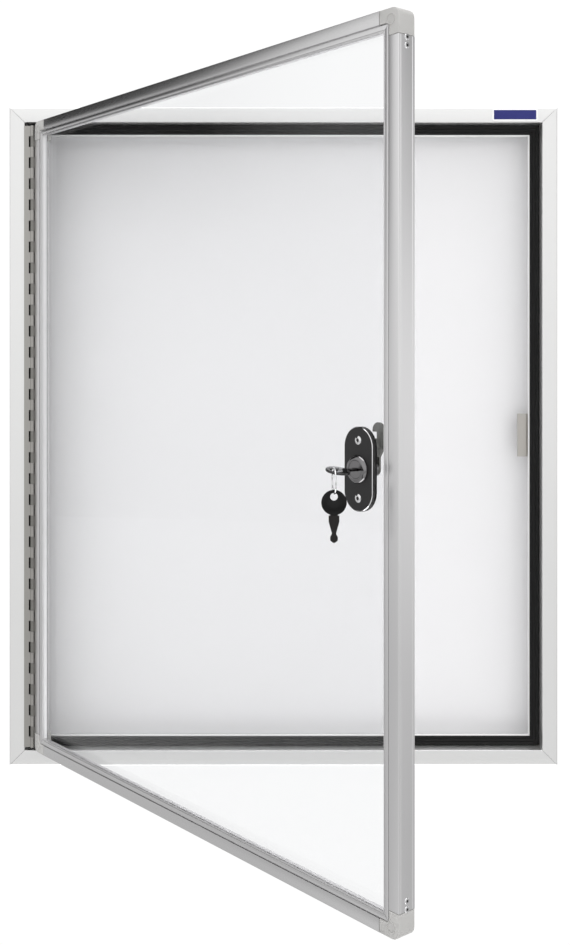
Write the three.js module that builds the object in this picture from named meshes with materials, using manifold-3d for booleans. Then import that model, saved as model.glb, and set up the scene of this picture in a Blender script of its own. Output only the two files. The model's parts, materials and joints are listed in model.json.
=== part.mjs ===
// Lockable notice board: a shallow wall case with a white magnetic back, a rubber seal,
// and a glazed door on a piano hinge that stands half open, with a cam lock and its keys.
// Millimetres, +Z up. The wall plane is y = 0, the case's middle is x = 0, z = 0, and the
// viewer stands at negative y.
import * as THREE from 'three';
import { mergeVertices } from 'three/addons/utils/BufferGeometryUtils.js';
import Module from 'manifold-3d';

const wasm = await Module();
wasm.setup();

// Overall case
const CASE_WIDTH = 548;
const CASE_HEIGHT = 658;
const CASE_DEPTH = 47;

// Clearances
const SEAT_GAP = 0.1;
const FIT_GAP = 0.2;
const RUNNING_GAP = 0.3;
const CUT_OVERRUN = 2;

// Case frame profile: an extruded aluminium section with a rebate for the door
const FRAME_FACE = 15;
const FRAME_WALL = 1.5;
const FRAME_EDGE_RADIUS = 1.2;
const FRAME_INNER_EDGE_RADIUS = 0.5;
const FRAME_BODY = 20;
const LEDGE_WIDTH = 11.4;
const LIP_THICKNESS = 1.3;
const UPSTAND_WIDTH = 1.4;
const UPSTAND_HEIGHT = 2;
const PANEL_SHOULDER = 6;
const CORNER_KEY_LEG = 44;

// Back: white steel sheet on a stiff board, set in from behind and flush with the wall plane
const SHEET_THICKNESS = 1;
const BOARD_THICKNESS = 8;

// Rubber seal on the ledge
const SEAL_THICKNESS = 2.4;
const SEAL_RIB_COUNT = 3;
const SEAL_GROOVE_WIDTH = 0.5;
const SEAL_GROOVE_DEPTH = 0.7;
const SEAL_WALL_GROOVE = 1.1;

// Door
const DOOR_OPEN_DEGREES = 50;
const DOOR_THICKNESS = 15.4;
const DOOR_FACE_BEHIND_AXIS = 1.3;
const DOOR_LOCK_SIDE_GAP = 0.7;
const DOOR_END_GAP = 0.7;
const BAR_WIDTH = 15.2;
const BAR_WALL = 1.3;
const BAR_EDGE_RADIUS = 1;
const BAR_FLAT = 9.6;
const BAR_GROOVE_WIDTH = 0.8;
const BAR_GROOVE_DEPTH = 1;
const BAR_LIP_DROP = 0.4;
const BAR_LIP_SLOPE = 0.6;
const BAR_NOTCH_START = 0.5;
const BAR_NOTCH_WIDTH = 1;
const BAR_NOTCH_DEPTH = 0.6;
const BAR_REAR_LIP = 9.4;
const BAR_REAR_LIP_EDGE = 0.6;
const BAR_REAR_FLAT = 5.8;
const PANE_SET_BACK = 6.4;
const PANE_THICKNESS = 4;
const PANE_BITE = 8;
const GASKET_WALL = 0.6;
const GASKET_SET_IN = 0.4;

// Door corner blocks
const CORNER_LEG = 18.4;
const CORNER_RADIUS = 6.5;
const CORNER_FILLET = 3;
const CORNER_TENON = 20;
const CORNER_BOSS_RADIUS = 4;
const CORNER_BOSS_HEIGHT = 0.25;

// Corner screws in the lock stile's edge
const CORNER_SCREW_FIRST = 20.2;
const CORNER_SCREW_PITCH = 5.6;
const CORNER_SCREW_HEAD_RADIUS = 2.2;
const CORNER_SCREW_HEAD_HEIGHT = 0.4;
const CORNER_SCREW_RADIUS = 1.2;
const CORNER_SCREW_LENGTH = 4.6;
const RECESS_WIDTH = 0.5;
const RECESS_DEPTH = 0.5;

// Piano hinge
const HINGE_END_GAP = 4;
const HINGE_AXIS_INSET = 8.5;
const HINGE_AXIS_PROUD = 3.2;
const KNUCKLE_RADIUS = 1.9;
const PIN_RADIUS = 1;
const PIN_BORE_GAP = 0.15;
const KNUCKLE_COUNT = 59;
const LEAF_THICKNESS = 1;
const CASE_LEAF_DEPTH = 12.4;
const DOOR_LEAF_DEPTH = 13.6;
const DOOR_RIVET_DEPTH_SHARE = 0.6;
const KNUCKLE_SLOT = 1.9;
const KNUCKLE_BACK_GAP = 0.5;
const RIVET_HEAD_RADIUS = 2.6;
const RIVET_HEAD_HEIGHT = 0.9;
const RIVET_RADIUS = 1.5;
const RIVET_TAIL = 1.6;
const RIVET_FROM_TENON = 16;

// Lock plate and cylinder
const LOCK_FROM_FREE_EDGE = 41.6;
const LOCK_PLATE_WIDTH = 28.6;
const LOCK_PLATE_HEIGHT = 59.2;
const LOCK_PLATE_THICKNESS = 3;
const LOCK_PLATE_CHAMFER = 1;
const LOCK_GASKET_THICKNESS = 1.3;
const INNER_PLATE_WIDTH = 16;
const INNER_PLATE_HEIGHT = 52;
const INNER_PLATE_THICKNESS = 2;
const PLATE_SCREW_OFFSET = 20.2;
const PLATE_SCREW_HEAD_RADIUS = 3.3;
const PLATE_SCREW_HEAD_HEIGHT = 2;
const PLATE_SCREW_RADIUS = 1.5;
const PLATE_SINK_MARGIN = 0.35;
const HEX_SOCKET_RADIUS = 1.3;
const HEX_SOCKET_DEPTH = 1.1;
const BEZEL_BASE_RADIUS = 10;
const BEZEL_FRONT_RADIUS = 7.1;
const BEZEL_HEIGHT = 2.8;
const HOUSING_RADIUS = 6;
const HOUSING_REAR_WALL = 1.6;
const NUT_RADIUS = 7.8;
const NUT_THICKNESS = 2.6;
const PLUG_FLANGE_RADIUS = 6.3;
const PLUG_FLANGE_THICKNESS = 2;
const PLUG_RADIUS = 4.6;
const PLUG_TAIL_RADIUS = 3.6;
const PLUG_SQUARE = 5;
const KEYWAY_WIDTH = 6.6;
const KEYWAY_DEPTH = 13.8;

// Cam: a cranked hook that turns down behind the strike
const CAM_THICKNESS = 1.8;
const CAM_CRANK = 5.1;
const CAM_CRANK_START = 8;
const CAM_CRANK_END = 13.5;
const CAM_REACH = 32;
const CAM_EYE_RADIUS = 5.6;
const CAM_STEM_LEFT = 3.8;
const CAM_STEM_RIGHT = 4.4;
const CAM_HOOK_LEFT = 6.4;
const CAM_HOOK_HEIGHT = 6.8;
const CAM_NOTCH_HEIGHT = 4.7;
const CAM_NOTCH_DEPTH = 1.6;
const CAM_CORNER_RADIUS = 5.2;
const CAM_EYE_ROUND_SHARE = 0.9;
const CAM_SCREW_HEAD_RADIUS = 3.8;
const CAM_SCREW_HEAD_HEIGHT = 1.8;
const CAM_SCREW_RADIUS = 1.4;
const CAM_SCREW_LENGTH = 5.5;

// Strike inside the case
const STRIKE_HEIGHT = 43.5;
const STRIKE_FLANGE = 16;
const STRIKE_THICKNESS = 1.2;
const STRIKE_SET_BACK = 2.6;
const STRIKE_BACK_GAP = 0.4;
const STRIKE_SCREW_DEPTH_SHARE = 0.6;
const STRIKE_SCREW_OFFSET = 14;
const STRIKE_SCREW_HEAD_RADIUS = 3;
const STRIKE_SCREW_HEAD_HEIGHT = 1.5;
const STRIKE_SCREW_RADIUS = 1.6;
const STRIKE_SCREW_LENGTH = 4;

// Keys: one in the lock, one hanging from the ring
const KEY_HEAD_RADIUS = 8.65;
const KEY_HEAD_THICKNESS = 1.8;
const KEY_HOLE_RADIUS = 2.6;
const KEY_HOLE_FROM_END = 4.7;
const KEY_THICKNESS = 1.6;
const KEY_TANG_LENGTH = 5;
const KEY_TANG_WIDTH = 5;
const KEY_TANG_THICKNESS = 0.9;
const KEY_SHOULDER_WIDTH = 7.3;
const KEY_SHOULDER_LENGTH = 4.3;
const KEY_BLADE_WIDTH = 4.5;
const KEY_TAPER_LENGTH = 5;
const KEY_WAIST_WIDTH = 2.8;
const KEY_WAIST_LENGTH = 3.2;
const KEY_TIP_WIDTH = 5.2;
const KEY_TIP_LENGTH = 6.7;
const KEY_TIP_RADIUS = 1.6;
const KEY_TIP_WIDEST_SHARES = [1 / 3, 2 / 3];
const KEY_HEAD_PROUD = 25.7;
const RING_RADIUS = 8.9;
const RING_WIRE_RADIAL = 1.3;
const RING_WIRE_AXIAL = 1.2;
const RING_BEVEL = 0.3;
const RING_TOP_DROP = 7;
const RING_OFFSET = 6.04;
const SPARE_KEY_GAP = 0.25;

// Label plate on the top of the case frame
const LABEL_WIDTH = 45;
const LABEL_HEIGHT = 12;
const LABEL_THICKNESS = 0.6;
const LABEL_FROM_RIGHT = 20;
const LABEL_CORNER_RADIUS = 0.6;

// Facets
const ROUND_FACETS = 32;
const SMALL_ROUND_FACETS = 16;
const KNUCKLE_FACETS = 12;
const BORE_FACETS = 8;
const EDGE_ARC_STEPS = 2;
const OUTLINE_ARC_STEPS = 4;
const KEY_ARC_STEPS = 12;
const STADIUM_ARC_STEPS = 8;

// Sizes that follow from the values above
const OPENING_WIDTH = CASE_WIDTH - 2 * FRAME_FACE;
const OPENING_HEIGHT = CASE_HEIGHT - 2 * FRAME_FACE;
const FRONT_Y = -CASE_DEPTH;
const HINGE_LENGTH = OPENING_HEIGHT - 2 * HINGE_END_GAP;
const PANEL_FRONT = CASE_DEPTH - SHEET_THICKNESS - BOARD_THICKNESS;
const DOOR_REAR = DOOR_FACE_BEHIND_AXIS + DOOR_THICKNESS;
const DOOR_REAR_IN_CASE = DOOR_REAR - HINGE_AXIS_PROUD;
const SEAL_TOP = DOOR_REAR_IN_CASE + RUNNING_GAP;
const LEDGE_DEPTH = SEAL_TOP + SEAL_THICKNESS;
const LIP_END = FRAME_FACE + LEDGE_WIDTH;
const LIP_REAR = LEDGE_DEPTH + LIP_THICKNESS;
const PANEL_REBATE = FRAME_BODY - PANEL_SHOULDER;
const STILE_FROM_AXIS = KNUCKLE_RADIUS + SEAT_GAP;
const AXIS_X = HINGE_AXIS_INSET - OPENING_WIDTH / 2;
const AXIS_Y = FRONT_Y - HINGE_AXIS_PROUD;
const DOOR_WIDTH = OPENING_WIDTH - HINGE_AXIS_INSET - STILE_FROM_AXIS - DOOR_LOCK_SIDE_GAP;
const DOOR_HEIGHT = OPENING_HEIGHT - 2 * DOOR_END_GAP;
const DOOR_FACE = DOOR_FACE_BEHIND_AXIS;
const DOOR_MIDDLE_X = STILE_FROM_AXIS + DOOR_WIDTH / 2;
const CHANNEL_FRONT = PANE_SET_BACK - GASKET_WALL - SEAT_GAP;
const CHANNEL_REAR = PANE_SET_BACK + PANE_THICKNESS + GASKET_WALL + SEAT_GAP;
const CHANNEL_BOTTOM = BAR_WIDTH - PANE_BITE - GASKET_WALL + RUNNING_GAP;
const PANE_INSET = CHANNEL_BOTTOM + SEAT_GAP + GASKET_WALL / 2 + SEAT_GAP;
const LOCK_X = STILE_FROM_AXIS + DOOR_WIDTH - LOCK_FROM_FREE_EDGE;
const PANE_FRONT_Y = DOOR_FACE + PANE_SET_BACK;
const PANE_REAR_Y = PANE_FRONT_Y + PANE_THICKNESS;
const PLATE_REAR_Y = PANE_FRONT_Y - LOCK_GASKET_THICKNESS - 2 * SEAT_GAP;
const PLATE_FRONT_Y = PLATE_REAR_Y - LOCK_PLATE_THICKNESS;
const BEZEL_BASE_Y = PLATE_FRONT_Y - SEAT_GAP;
const BEZEL_FRONT_Y = BEZEL_BASE_Y - BEZEL_HEIGHT;
const INNER_PLATE_Y = PANE_REAR_Y + SEAT_GAP;
const NUT_Y = INNER_PLATE_Y + INNER_PLATE_THICKNESS + SEAT_GAP;
const STRIKE_FLANGE_DEPTH = LIP_REAR + STRIKE_SET_BACK + SEAT_GAP;
const STRIKE_BASE_DEPTH = PANEL_FRONT - STRIKE_FLANGE_DEPTH - STRIKE_BACK_GAP;
const CAM_TIP_Y = STRIKE_FLANGE_DEPTH + STRIKE_THICKNESS + RUNNING_GAP + HINGE_AXIS_PROUD;
const CAM_EYE_Y = CAM_TIP_Y - CAM_CRANK;
const HOUSING_END_Y = CAM_EYE_Y - RUNNING_GAP;
const KEY_LENGTH = 2 * KEY_HEAD_RADIUS + KEY_SHOULDER_LENGTH + KEY_TAPER_LENGTH
  + KEY_WAIST_LENGTH + KEY_TIP_LENGTH;

// Finishes
const finish = (color, roughness, metalness) => ({ color, roughness, metalness });
const ANODISED = finish(0xdfdfde, 0.38, 0.75);
const DOOR_ALUMINIUM = finish(0xcbc9ca, 0.35, 0.85);
const WHITE_ENAMEL = finish(0xf0f0f2, 0.25, 0.1);
const BOARD_GREY = finish(0x9c9a94, 0.8, 0);
const RUBBER_BLACK = finish(0x252525, 0.7, 0);
const GREY_PLASTIC = finish(0xb8b7b4, 0.5, 0);
const STEEL = finish(0xb0aea8, 0.35, 0.9);
const ZINC = finish(0xbfbab2, 0.45, 0.8);
const CHROME = finish(0xe0e0e2, 0.12, 1);
const BLACK_SATIN = finish(0x2c2b2c, 0.35, 0.4);
const BLACK_PLASTIC = finish(0x161617, 0.35, 0);
const GLAZING = finish(0xf2f6f5, 0.05, 0);
const BLUE_LABEL = finish(0x1b2a6b, 0.4, 0);

// Geometry helpers

// Draws a closed outline from corners [x, y, radius]. A corner with a radius is a true arc.
function outline(corners, path = new THREE.Shape()) {
  const points = corners.map(([x, y]) => new THREE.Vector2(x, y));
  corners.forEach(([, , radius = 0], index) => {
    const here = points[index];
    const before = points[(index + points.length - 1) % points.length];
    const after = points[(index + 1) % points.length];
    const toBefore = before.clone().sub(here).normalize();
    const toAfter = after.clone().sub(here).normalize();
    const halfAngle = Math.acos(THREE.MathUtils.clamp(toBefore.dot(toAfter), -1, 1)) / 2;
    const reach = radius / Math.tan(halfAngle);
    const start = here.clone().addScaledVector(toBefore, reach);
    if (index === 0) {
      path.moveTo(start.x, start.y);
    } else {
      path.lineTo(start.x, start.y);
    }
    if (radius > 0) {
      const bisector = toBefore.clone().add(toAfter).normalize();
      const centre = here.clone().addScaledVector(bisector, radius / Math.sin(halfAngle));
      const end = here.clone().addScaledVector(toAfter, reach);
      const leftTurn = toAfter.cross(toBefore) > 0;
      path.absarc(centre.x, centre.y, radius, start.clone().sub(centre).angle(),
        end.clone().sub(centre).angle(), !leftTurn);
    }
  });
  path.closePath();
  return path;
}

function circle(x, y, radius, path = new THREE.Shape()) {
  path.absarc(x, y, radius, 0, Math.PI * 2, false);
  return path;
}

// Extrudes a shape drawn in (x, z) into a plate that starts at startY and runs towards +y.
function plate(shape, thickness, startY, arcSteps = OUTLINE_ARC_STEPS) {
  const geometry = new THREE.ExtrudeGeometry(shape, {
    depth: thickness, bevelEnabled: false, curveSegments: arcSteps,
  });
  geometry.rotateX(Math.PI / 2);
  geometry.translate(0, startY + thickness, 0);
  return geometry;
}

// A box between two corners.
function box(low, high) {
  const size = high.map((value, axis) => value - low[axis]);
  const geometry = new THREE.BoxGeometry(...size);
  geometry.translate(...high.map((value, axis) => (value + low[axis]) / 2));
  return geometry;
}

// A cylinder or cone whose axis runs along one row axis, from start to end.
function rod(axis, startRadius, endRadius, start, end, facets = SMALL_ROUND_FACETS) {
  const geometry = new THREE.CylinderGeometry(endRadius, startRadius, end - start, facets);
  geometry.translate(0, (start + end) / 2, 0);
  if (axis === 'x') geometry.rotateZ(-Math.PI / 2);
  if (axis === 'z') geometry.rotateX(Math.PI / 2);
  return geometry;
}

// Turns a closed profile of [radius, y] points about the y axis.
function turned(profile, facets = ROUND_FACETS) {
  const points = profile.map(([radius, y]) => new THREE.Vector2(radius, y));
  if (profile[0][0] > 0) points.push(points[0].clone());
  return new THREE.LatheGeometry(points, facets);
}

// Merges shared corners and turns the faces outward.
function closedBody(geometry) {
  const bare = geometry.clone();
  bare.deleteAttribute('normal');
  bare.deleteAttribute('uv');
  const merged = mergeVertices(bare);
  const position = merged.attributes.position;
  const index = merged.index.array;
  const corners = [new THREE.Vector3(), new THREE.Vector3(), new THREE.Vector3()];
  const kept = [];
  let volume = 0;
  for (let face = 0; face < index.length; face += 3) {
    const [a, b, c] = index.slice(face, face + 3);
    if (a !== b && b !== c && c !== a) {
      kept.push([a, b, c]);
      [a, b, c].forEach((vertex, place) => corners[place].fromBufferAttribute(position, vertex));
      volume += corners[0].dot(corners[1].cross(corners[2]));
    }
  }
  merged.setIndex(kept.flatMap(([a, b, c]) => (volume < 0 ? [a, c, b] : [a, b, c])));
  return merged;
}

function solid(geometry) {
  const merged = closedBody(geometry);
  return new wasm.Manifold(new wasm.Mesh({
    numProp: 3,
    vertProperties: new Float32Array(merged.attributes.position.array),
    triVerts: new Uint32Array(merged.index.array),
  }));
}

function surface(body) {
  const mesh = body.getMesh();
  const geometry = new THREE.BufferGeometry();
  geometry.setAttribute('position', new THREE.BufferAttribute(mesh.vertProperties, mesh.numProp));
  geometry.setIndex(new THREE.BufferAttribute(mesh.triVerts, 1));
  return geometry;
}

function join(pieces) {
  return surface(pieces.map(solid).reduce((whole, piece) => whole.add(piece)));
}

function cut(geometry, tools) {
  return surface(tools.map(solid).reduce((whole, tool) => whole.subtract(tool), solid(geometry)));
}

function common(geometry, other) {
  return surface(solid(geometry).intersect(solid(other)));
}

function named(name, geometry, look) {
  const body = closedBody(geometry);
  body.computeVertexNormals();
  const mesh = new THREE.Mesh(body, new THREE.MeshStandardMaterial(look));
  mesh.name = name;
  return mesh;
}

// The four sides of a rectangular frame: which way is inward, and the corner where the bar starts.
const SIDES = {
  bottom: { inward: [0, 0, 1], corner: [1, -1] },
  top: { inward: [0, 0, -1], corner: [-1, 1] },
  left: { inward: [1, 0, 0], corner: [-1, -1] },
  right: { inward: [-1, 0, 0], corner: [1, 1] },
};

// Puts a bar drawn in (inward, depth, along) on one side of a width by height rectangle
// whose middle is at middleX, with depth counted from frontY.
function onSide(geometry, side, width, height, middleX, frontY) {
  const { inward, corner } = SIDES[side];
  const inwardAxis = new THREE.Vector3(...inward);
  const depthAxis = new THREE.Vector3(0, 1, 0);
  const alongAxis = inwardAxis.clone().cross(depthAxis);
  const matrix = new THREE.Matrix4().makeBasis(inwardAxis, depthAxis, alongAxis);
  matrix.setPosition(middleX + corner[0] * width / 2, frontY, corner[1] * height / 2);
  return geometry.clone().applyMatrix4(matrix);
}

function sideLength(side, width, height) {
  return side === 'top' || side === 'bottom' ? width : height;
}

// Extrudes an (inward, depth) shape between two mitred corners.
function mitredBar(shape, length, arcSteps = EDGE_ARC_STEPS) {
  const bar = new THREE.ExtrudeGeometry(shape, {
    depth: length, bevelEnabled: false, curveSegments: arcSteps,
  });
  const position = bar.attributes.position;
  for (let vertex = 0; vertex < position.count; vertex += 1) {
    const inset = position.getX(vertex) + SEAT_GAP;
    const atStart = position.getZ(vertex) < length / 2;
    position.setZ(vertex, atStart ? inset : length - inset);
  }
  return bar;
}

// Case frame

function frameProfile() {
  const shape = outline([
    [0, 0, FRAME_EDGE_RADIUS],
    [FRAME_FACE, 0, FRAME_INNER_EDGE_RADIUS],
    [FRAME_FACE, LEDGE_DEPTH],
    [LIP_END - UPSTAND_WIDTH, LEDGE_DEPTH],
    [LIP_END - UPSTAND_WIDTH, LEDGE_DEPTH - UPSTAND_HEIGHT],
    [LIP_END, LEDGE_DEPTH - UPSTAND_HEIGHT],
    [LIP_END, LIP_REAR],
    [FRAME_BODY, LIP_REAR],
    [FRAME_BODY, PANEL_FRONT],
    [PANEL_REBATE, PANEL_FRONT],
    [PANEL_REBATE, CASE_DEPTH],
    [0, CASE_DEPTH],
  ]);
  shape.holes.push(outline([
    [FRAME_WALL, FRAME_WALL],
    [FRAME_FACE - FRAME_WALL, FRAME_WALL],
    [FRAME_FACE - FRAME_WALL, LEDGE_DEPTH],
    [FRAME_WALL, LEDGE_DEPTH],
  ], new THREE.Path()));
  shape.holes.push(outline([
    [FRAME_WALL, LEDGE_DEPTH + FRAME_WALL],
    [FRAME_BODY - FRAME_WALL, LEDGE_DEPTH + FRAME_WALL],
    [FRAME_BODY - FRAME_WALL, PANEL_FRONT - FRAME_WALL],
    [PANEL_REBATE - FRAME_WALL, PANEL_FRONT - FRAME_WALL],
    [PANEL_REBATE - FRAME_WALL, CASE_DEPTH - FRAME_WALL],
    [FRAME_WALL, CASE_DEPTH - FRAME_WALL],
  ], new THREE.Path()));
  return shape;
}

function frameBar(side) {
  const length = sideLength(side, CASE_WIDTH, CASE_HEIGHT);
  return onSide(mitredBar(frameProfile(), length), side, CASE_WIDTH, CASE_HEIGHT, 0, FRONT_Y);
}

// An L of two legs that lies in the frame's rear chamber at one corner.
function cornerKey(turn, signX, signZ) {
  const near = FRAME_WALL + FIT_GAP;
  const far = PANEL_REBATE - FRAME_WALL - FIT_GAP;
  const frontDepth = LEDGE_DEPTH + FRAME_WALL + FIT_GAP;
  const rearDepth = PANEL_FRONT - FRAME_WALL - FIT_GAP;
  const shape = outline([
    [near, near],
    [CORNER_KEY_LEG, near],
    [CORNER_KEY_LEG, far],
    [far, far],
    [far, CORNER_KEY_LEG],
    [near, CORNER_KEY_LEG],
  ]);
  const geometry = plate(shape, rearDepth - frontDepth, FRONT_Y + frontDepth);
  geometry.rotateY(turn);
  geometry.translate(signX * CASE_WIDTH / 2, 0, signZ * CASE_HEIGHT / 2);
  return geometry;
}

// The four corners of a rectangle, with the turn about y that points an L's legs inward.
const CORNERS = {
  bottom_left: { turn: 0, signX: -1, signZ: -1 },
  bottom_right: { turn: -Math.PI / 2, signX: 1, signZ: -1 },
  top_right: { turn: Math.PI, signX: 1, signZ: 1 },
  top_left: { turn: Math.PI / 2, signX: -1, signZ: 1 },
};

// Seal strip: a base on the ledge with rounded ribs, and a groove beside the rebate wall.
function sealProfile() {
  const left = FRAME_FACE + SEAT_GAP;
  const right = LIP_END - UPSTAND_WIDTH - SEAT_GAP;
  const base = LEDGE_DEPTH - SEAT_GAP;
  const low = SEAL_TOP + SEAL_GROOVE_DEPTH;
  const ribsStart = left + SEAL_WALL_GROOVE;
  const ribPitch = (right - ribsStart + SEAL_GROOVE_WIDTH) / SEAL_RIB_COUNT;
  const corners = [[left, base], [left, low]];
  for (let rib = 0; rib < SEAL_RIB_COUNT; rib += 1) {
    const start = ribsStart + rib * ribPitch;
    const end = start + ribPitch - SEAL_GROOVE_WIDTH;
    corners.push([start, low]);
    corners.push([start, SEAL_TOP, SEAL_GROOVE_WIDTH]);
    corners.push([end, SEAL_TOP, SEAL_GROOVE_WIDTH]);
    if (rib < SEAL_RIB_COUNT - 1) corners.push([end, low]);
  }
  corners.push([right, base]);
  return outline(corners.reverse());
}

function backPiece(thickness, frontDepth) {
  const halfWidth = CASE_WIDTH / 2 - PANEL_REBATE - FIT_GAP;
  const halfHeight = CASE_HEIGHT / 2 - PANEL_REBATE - FIT_GAP;
  const frontY = FRONT_Y + frontDepth + SEAT_GAP;
  return box([-halfWidth, frontY, -halfHeight], [halfWidth, frontY + thickness - SEAT_GAP, halfHeight]);
}

// Strike: an angle whose flange lies just behind the seal lip at the height of the lock.
const STRIKE_WALL_X = CASE_WIDTH / 2 - FRAME_BODY;
const STRIKE_SCREW_Y = FRONT_Y + STRIKE_FLANGE_DEPTH + STRIKE_BASE_DEPTH * STRIKE_SCREW_DEPTH_SHARE;
const STRIKE_SCREW_HEIGHTS = [STRIKE_SCREW_OFFSET, -STRIKE_SCREW_OFFSET];

function strikePlate() {
  const wall = STRIKE_WALL_X - SEAT_GAP;
  const front = FRONT_Y + STRIKE_FLANGE_DEPTH;
  const flange = box(
    [wall - STRIKE_FLANGE, front, -STRIKE_HEIGHT / 2],
    [wall, front + STRIKE_THICKNESS, STRIKE_HEIGHT / 2],
  );
  const base = box(
    [wall - STRIKE_THICKNESS, front, -STRIKE_HEIGHT / 2],
    [wall, front + STRIKE_BASE_DEPTH, STRIKE_HEIGHT / 2],
  );
  const holes = STRIKE_SCREW_HEIGHTS.map((height) => strikeScrewHole(height));
  return cut(join([flange, base]), holes);
}

function strikeScrewHole(height) {
  const reach = STRIKE_THICKNESS + STRIKE_SCREW_LENGTH;
  const hole = rod('x', STRIKE_SCREW_RADIUS + FIT_GAP, STRIKE_SCREW_RADIUS + FIT_GAP,
    STRIKE_WALL_X - reach, STRIKE_WALL_X + reach);
  return hole.translate(0, STRIKE_SCREW_Y, height);
}

function strikeScrew(height) {
  const seat = STRIKE_WALL_X - SEAT_GAP - STRIKE_THICKNESS - SEAT_GAP;
  const head = rod('x', STRIKE_SCREW_HEAD_RADIUS - RING_BEVEL, STRIKE_SCREW_HEAD_RADIUS,
    seat - STRIKE_SCREW_HEAD_HEIGHT, seat);
  const shank = rod('x', STRIKE_SCREW_RADIUS, STRIKE_SCREW_RADIUS,
    seat - STRIKE_SCREW_HEAD_HEIGHT / 2, seat + STRIKE_SCREW_LENGTH);
  return join([head, shank]).translate(0, STRIKE_SCREW_Y, height);
}

// Piano hinge. Its leaves are drawn about the hinge axis, x towards the free edge and y inward.
const KNUCKLE_PITCH = HINGE_LENGTH / KNUCKLE_COUNT;
const RIVET_DEPTH_IN_CASE = AXIS_Y + HINGE_AXIS_PROUD + CASE_LEAF_DEPTH / 2;
const RIVET_REACH = DOOR_HEIGHT / 2 - CORNER_LEG - CORNER_TENON - RIVET_FROM_TENON;
const RIVET_HEIGHTS = [-RIVET_REACH, 0, RIVET_REACH];

// The z span of one knuckle, counted from the bottom.
function knuckleSpan(number) {
  const start = -HINGE_LENGTH / 2 + number * KNUCKLE_PITCH;
  return [start + SEAT_GAP, start + KNUCKLE_PITCH - SEAT_GAP];
}

function knuckleNumbers(parity) {
  return [...Array(KNUCKLE_COUNT).keys()].filter((number) => number % 2 === parity);
}

function hingeBore() {
  const radius = PIN_RADIUS + PIN_BORE_GAP;
  const reach = HINGE_LENGTH / 2 + CUT_OVERRUN;
  return rod('z', radius, radius, -reach, reach, BORE_FACETS);
}

function caseLeaf() {
  const wallX = -HINGE_AXIS_INSET + SEAT_GAP;
  const flangeFront = KNUCKLE_RADIUS - LEAF_THICKNESS;
  const half = HINGE_LENGTH / 2;
  const plateEdge = HINGE_AXIS_PROUD + CASE_LEAF_DEPTH;
  const pieces = [
    box([wallX, flangeFront, -half], [wallX + LEAF_THICKNESS, plateEdge, half]),
    box([wallX, flangeFront, -half], [-KNUCKLE_RADIUS - KNUCKLE_SLOT, KNUCKLE_RADIUS, half]),
  ];
  knuckleNumbers(0).forEach((number) => {
    const [low, high] = knuckleSpan(number);
    pieces.push(rod('z', KNUCKLE_RADIUS, KNUCKLE_RADIUS, low, high, KNUCKLE_FACETS));
    pieces.push(box([wallX, flangeFront, low], [0, KNUCKLE_RADIUS, high]));
  });
  const rivetHoles = RIVET_HEIGHTS.map((height) => rod('x', RIVET_RADIUS + FIT_GAP,
    RIVET_RADIUS + FIT_GAP, wallX - CUT_OVERRUN, wallX + LEAF_THICKNESS + CUT_OVERRUN)
    .translate(0, RIVET_DEPTH_IN_CASE - AXIS_Y, height));
  return cut(join(pieces), [hingeBore(), ...rivetHoles]);
}

const DOOR_RIVET_Y = DOOR_LEAF_DEPTH * DOOR_RIVET_DEPTH_SHARE;

function doorLeaf() {
  const outer = STILE_FROM_AXIS - SEAT_GAP;
  const inner = outer - LEAF_THICKNESS;
  const half = HINGE_LENGTH / 2;
  const pieces = [
    box([inner, KNUCKLE_RADIUS + KNUCKLE_BACK_GAP, -half], [outer, DOOR_LEAF_DEPTH, half]),
  ];
  knuckleNumbers(1).forEach((number) => {
    const [low, high] = knuckleSpan(number);
    pieces.push(rod('z', KNUCKLE_RADIUS, KNUCKLE_RADIUS, low, high, KNUCKLE_FACETS));
    pieces.push(box([inner, 0, low], [outer, DOOR_LEAF_DEPTH / 2, high]));
  });
  const rivetHoles = RIVET_HEIGHTS.map((height) => rod('x', RIVET_RADIUS + FIT_GAP,
    RIVET_RADIUS + FIT_GAP, inner - CUT_OVERRUN, outer + CUT_OVERRUN)
    .translate(0, DOOR_RIVET_Y, height));
  return cut(join(pieces), [hingeBore(), ...rivetHoles]);
}

function hingePin() {
  const reach = HINGE_LENGTH / 2 - SEAT_GAP;
  return rod('z', PIN_RADIUS, PIN_RADIUS, -reach, reach, KNUCKLE_FACETS);
}

// A rivet along x. Its head is on the low side of seatX when direction is 1.
function rivet(seatX, direction, gripLength) {
  const topRadius = RIVET_HEAD_RADIUS - RIVET_HEAD_HEIGHT;
  const head = rod('x', topRadius, RIVET_HEAD_RADIUS, -RIVET_HEAD_HEIGHT, 0);
  const shank = rod('x', RIVET_RADIUS, RIVET_RADIUS, -RIVET_HEAD_HEIGHT / 2, gripLength + RIVET_TAIL);
  const geometry = join([head, shank]);
  if (direction < 0) geometry.rotateZ(Math.PI);
  return geometry.translate(seatX, 0, 0);
}

// Door bars

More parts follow.
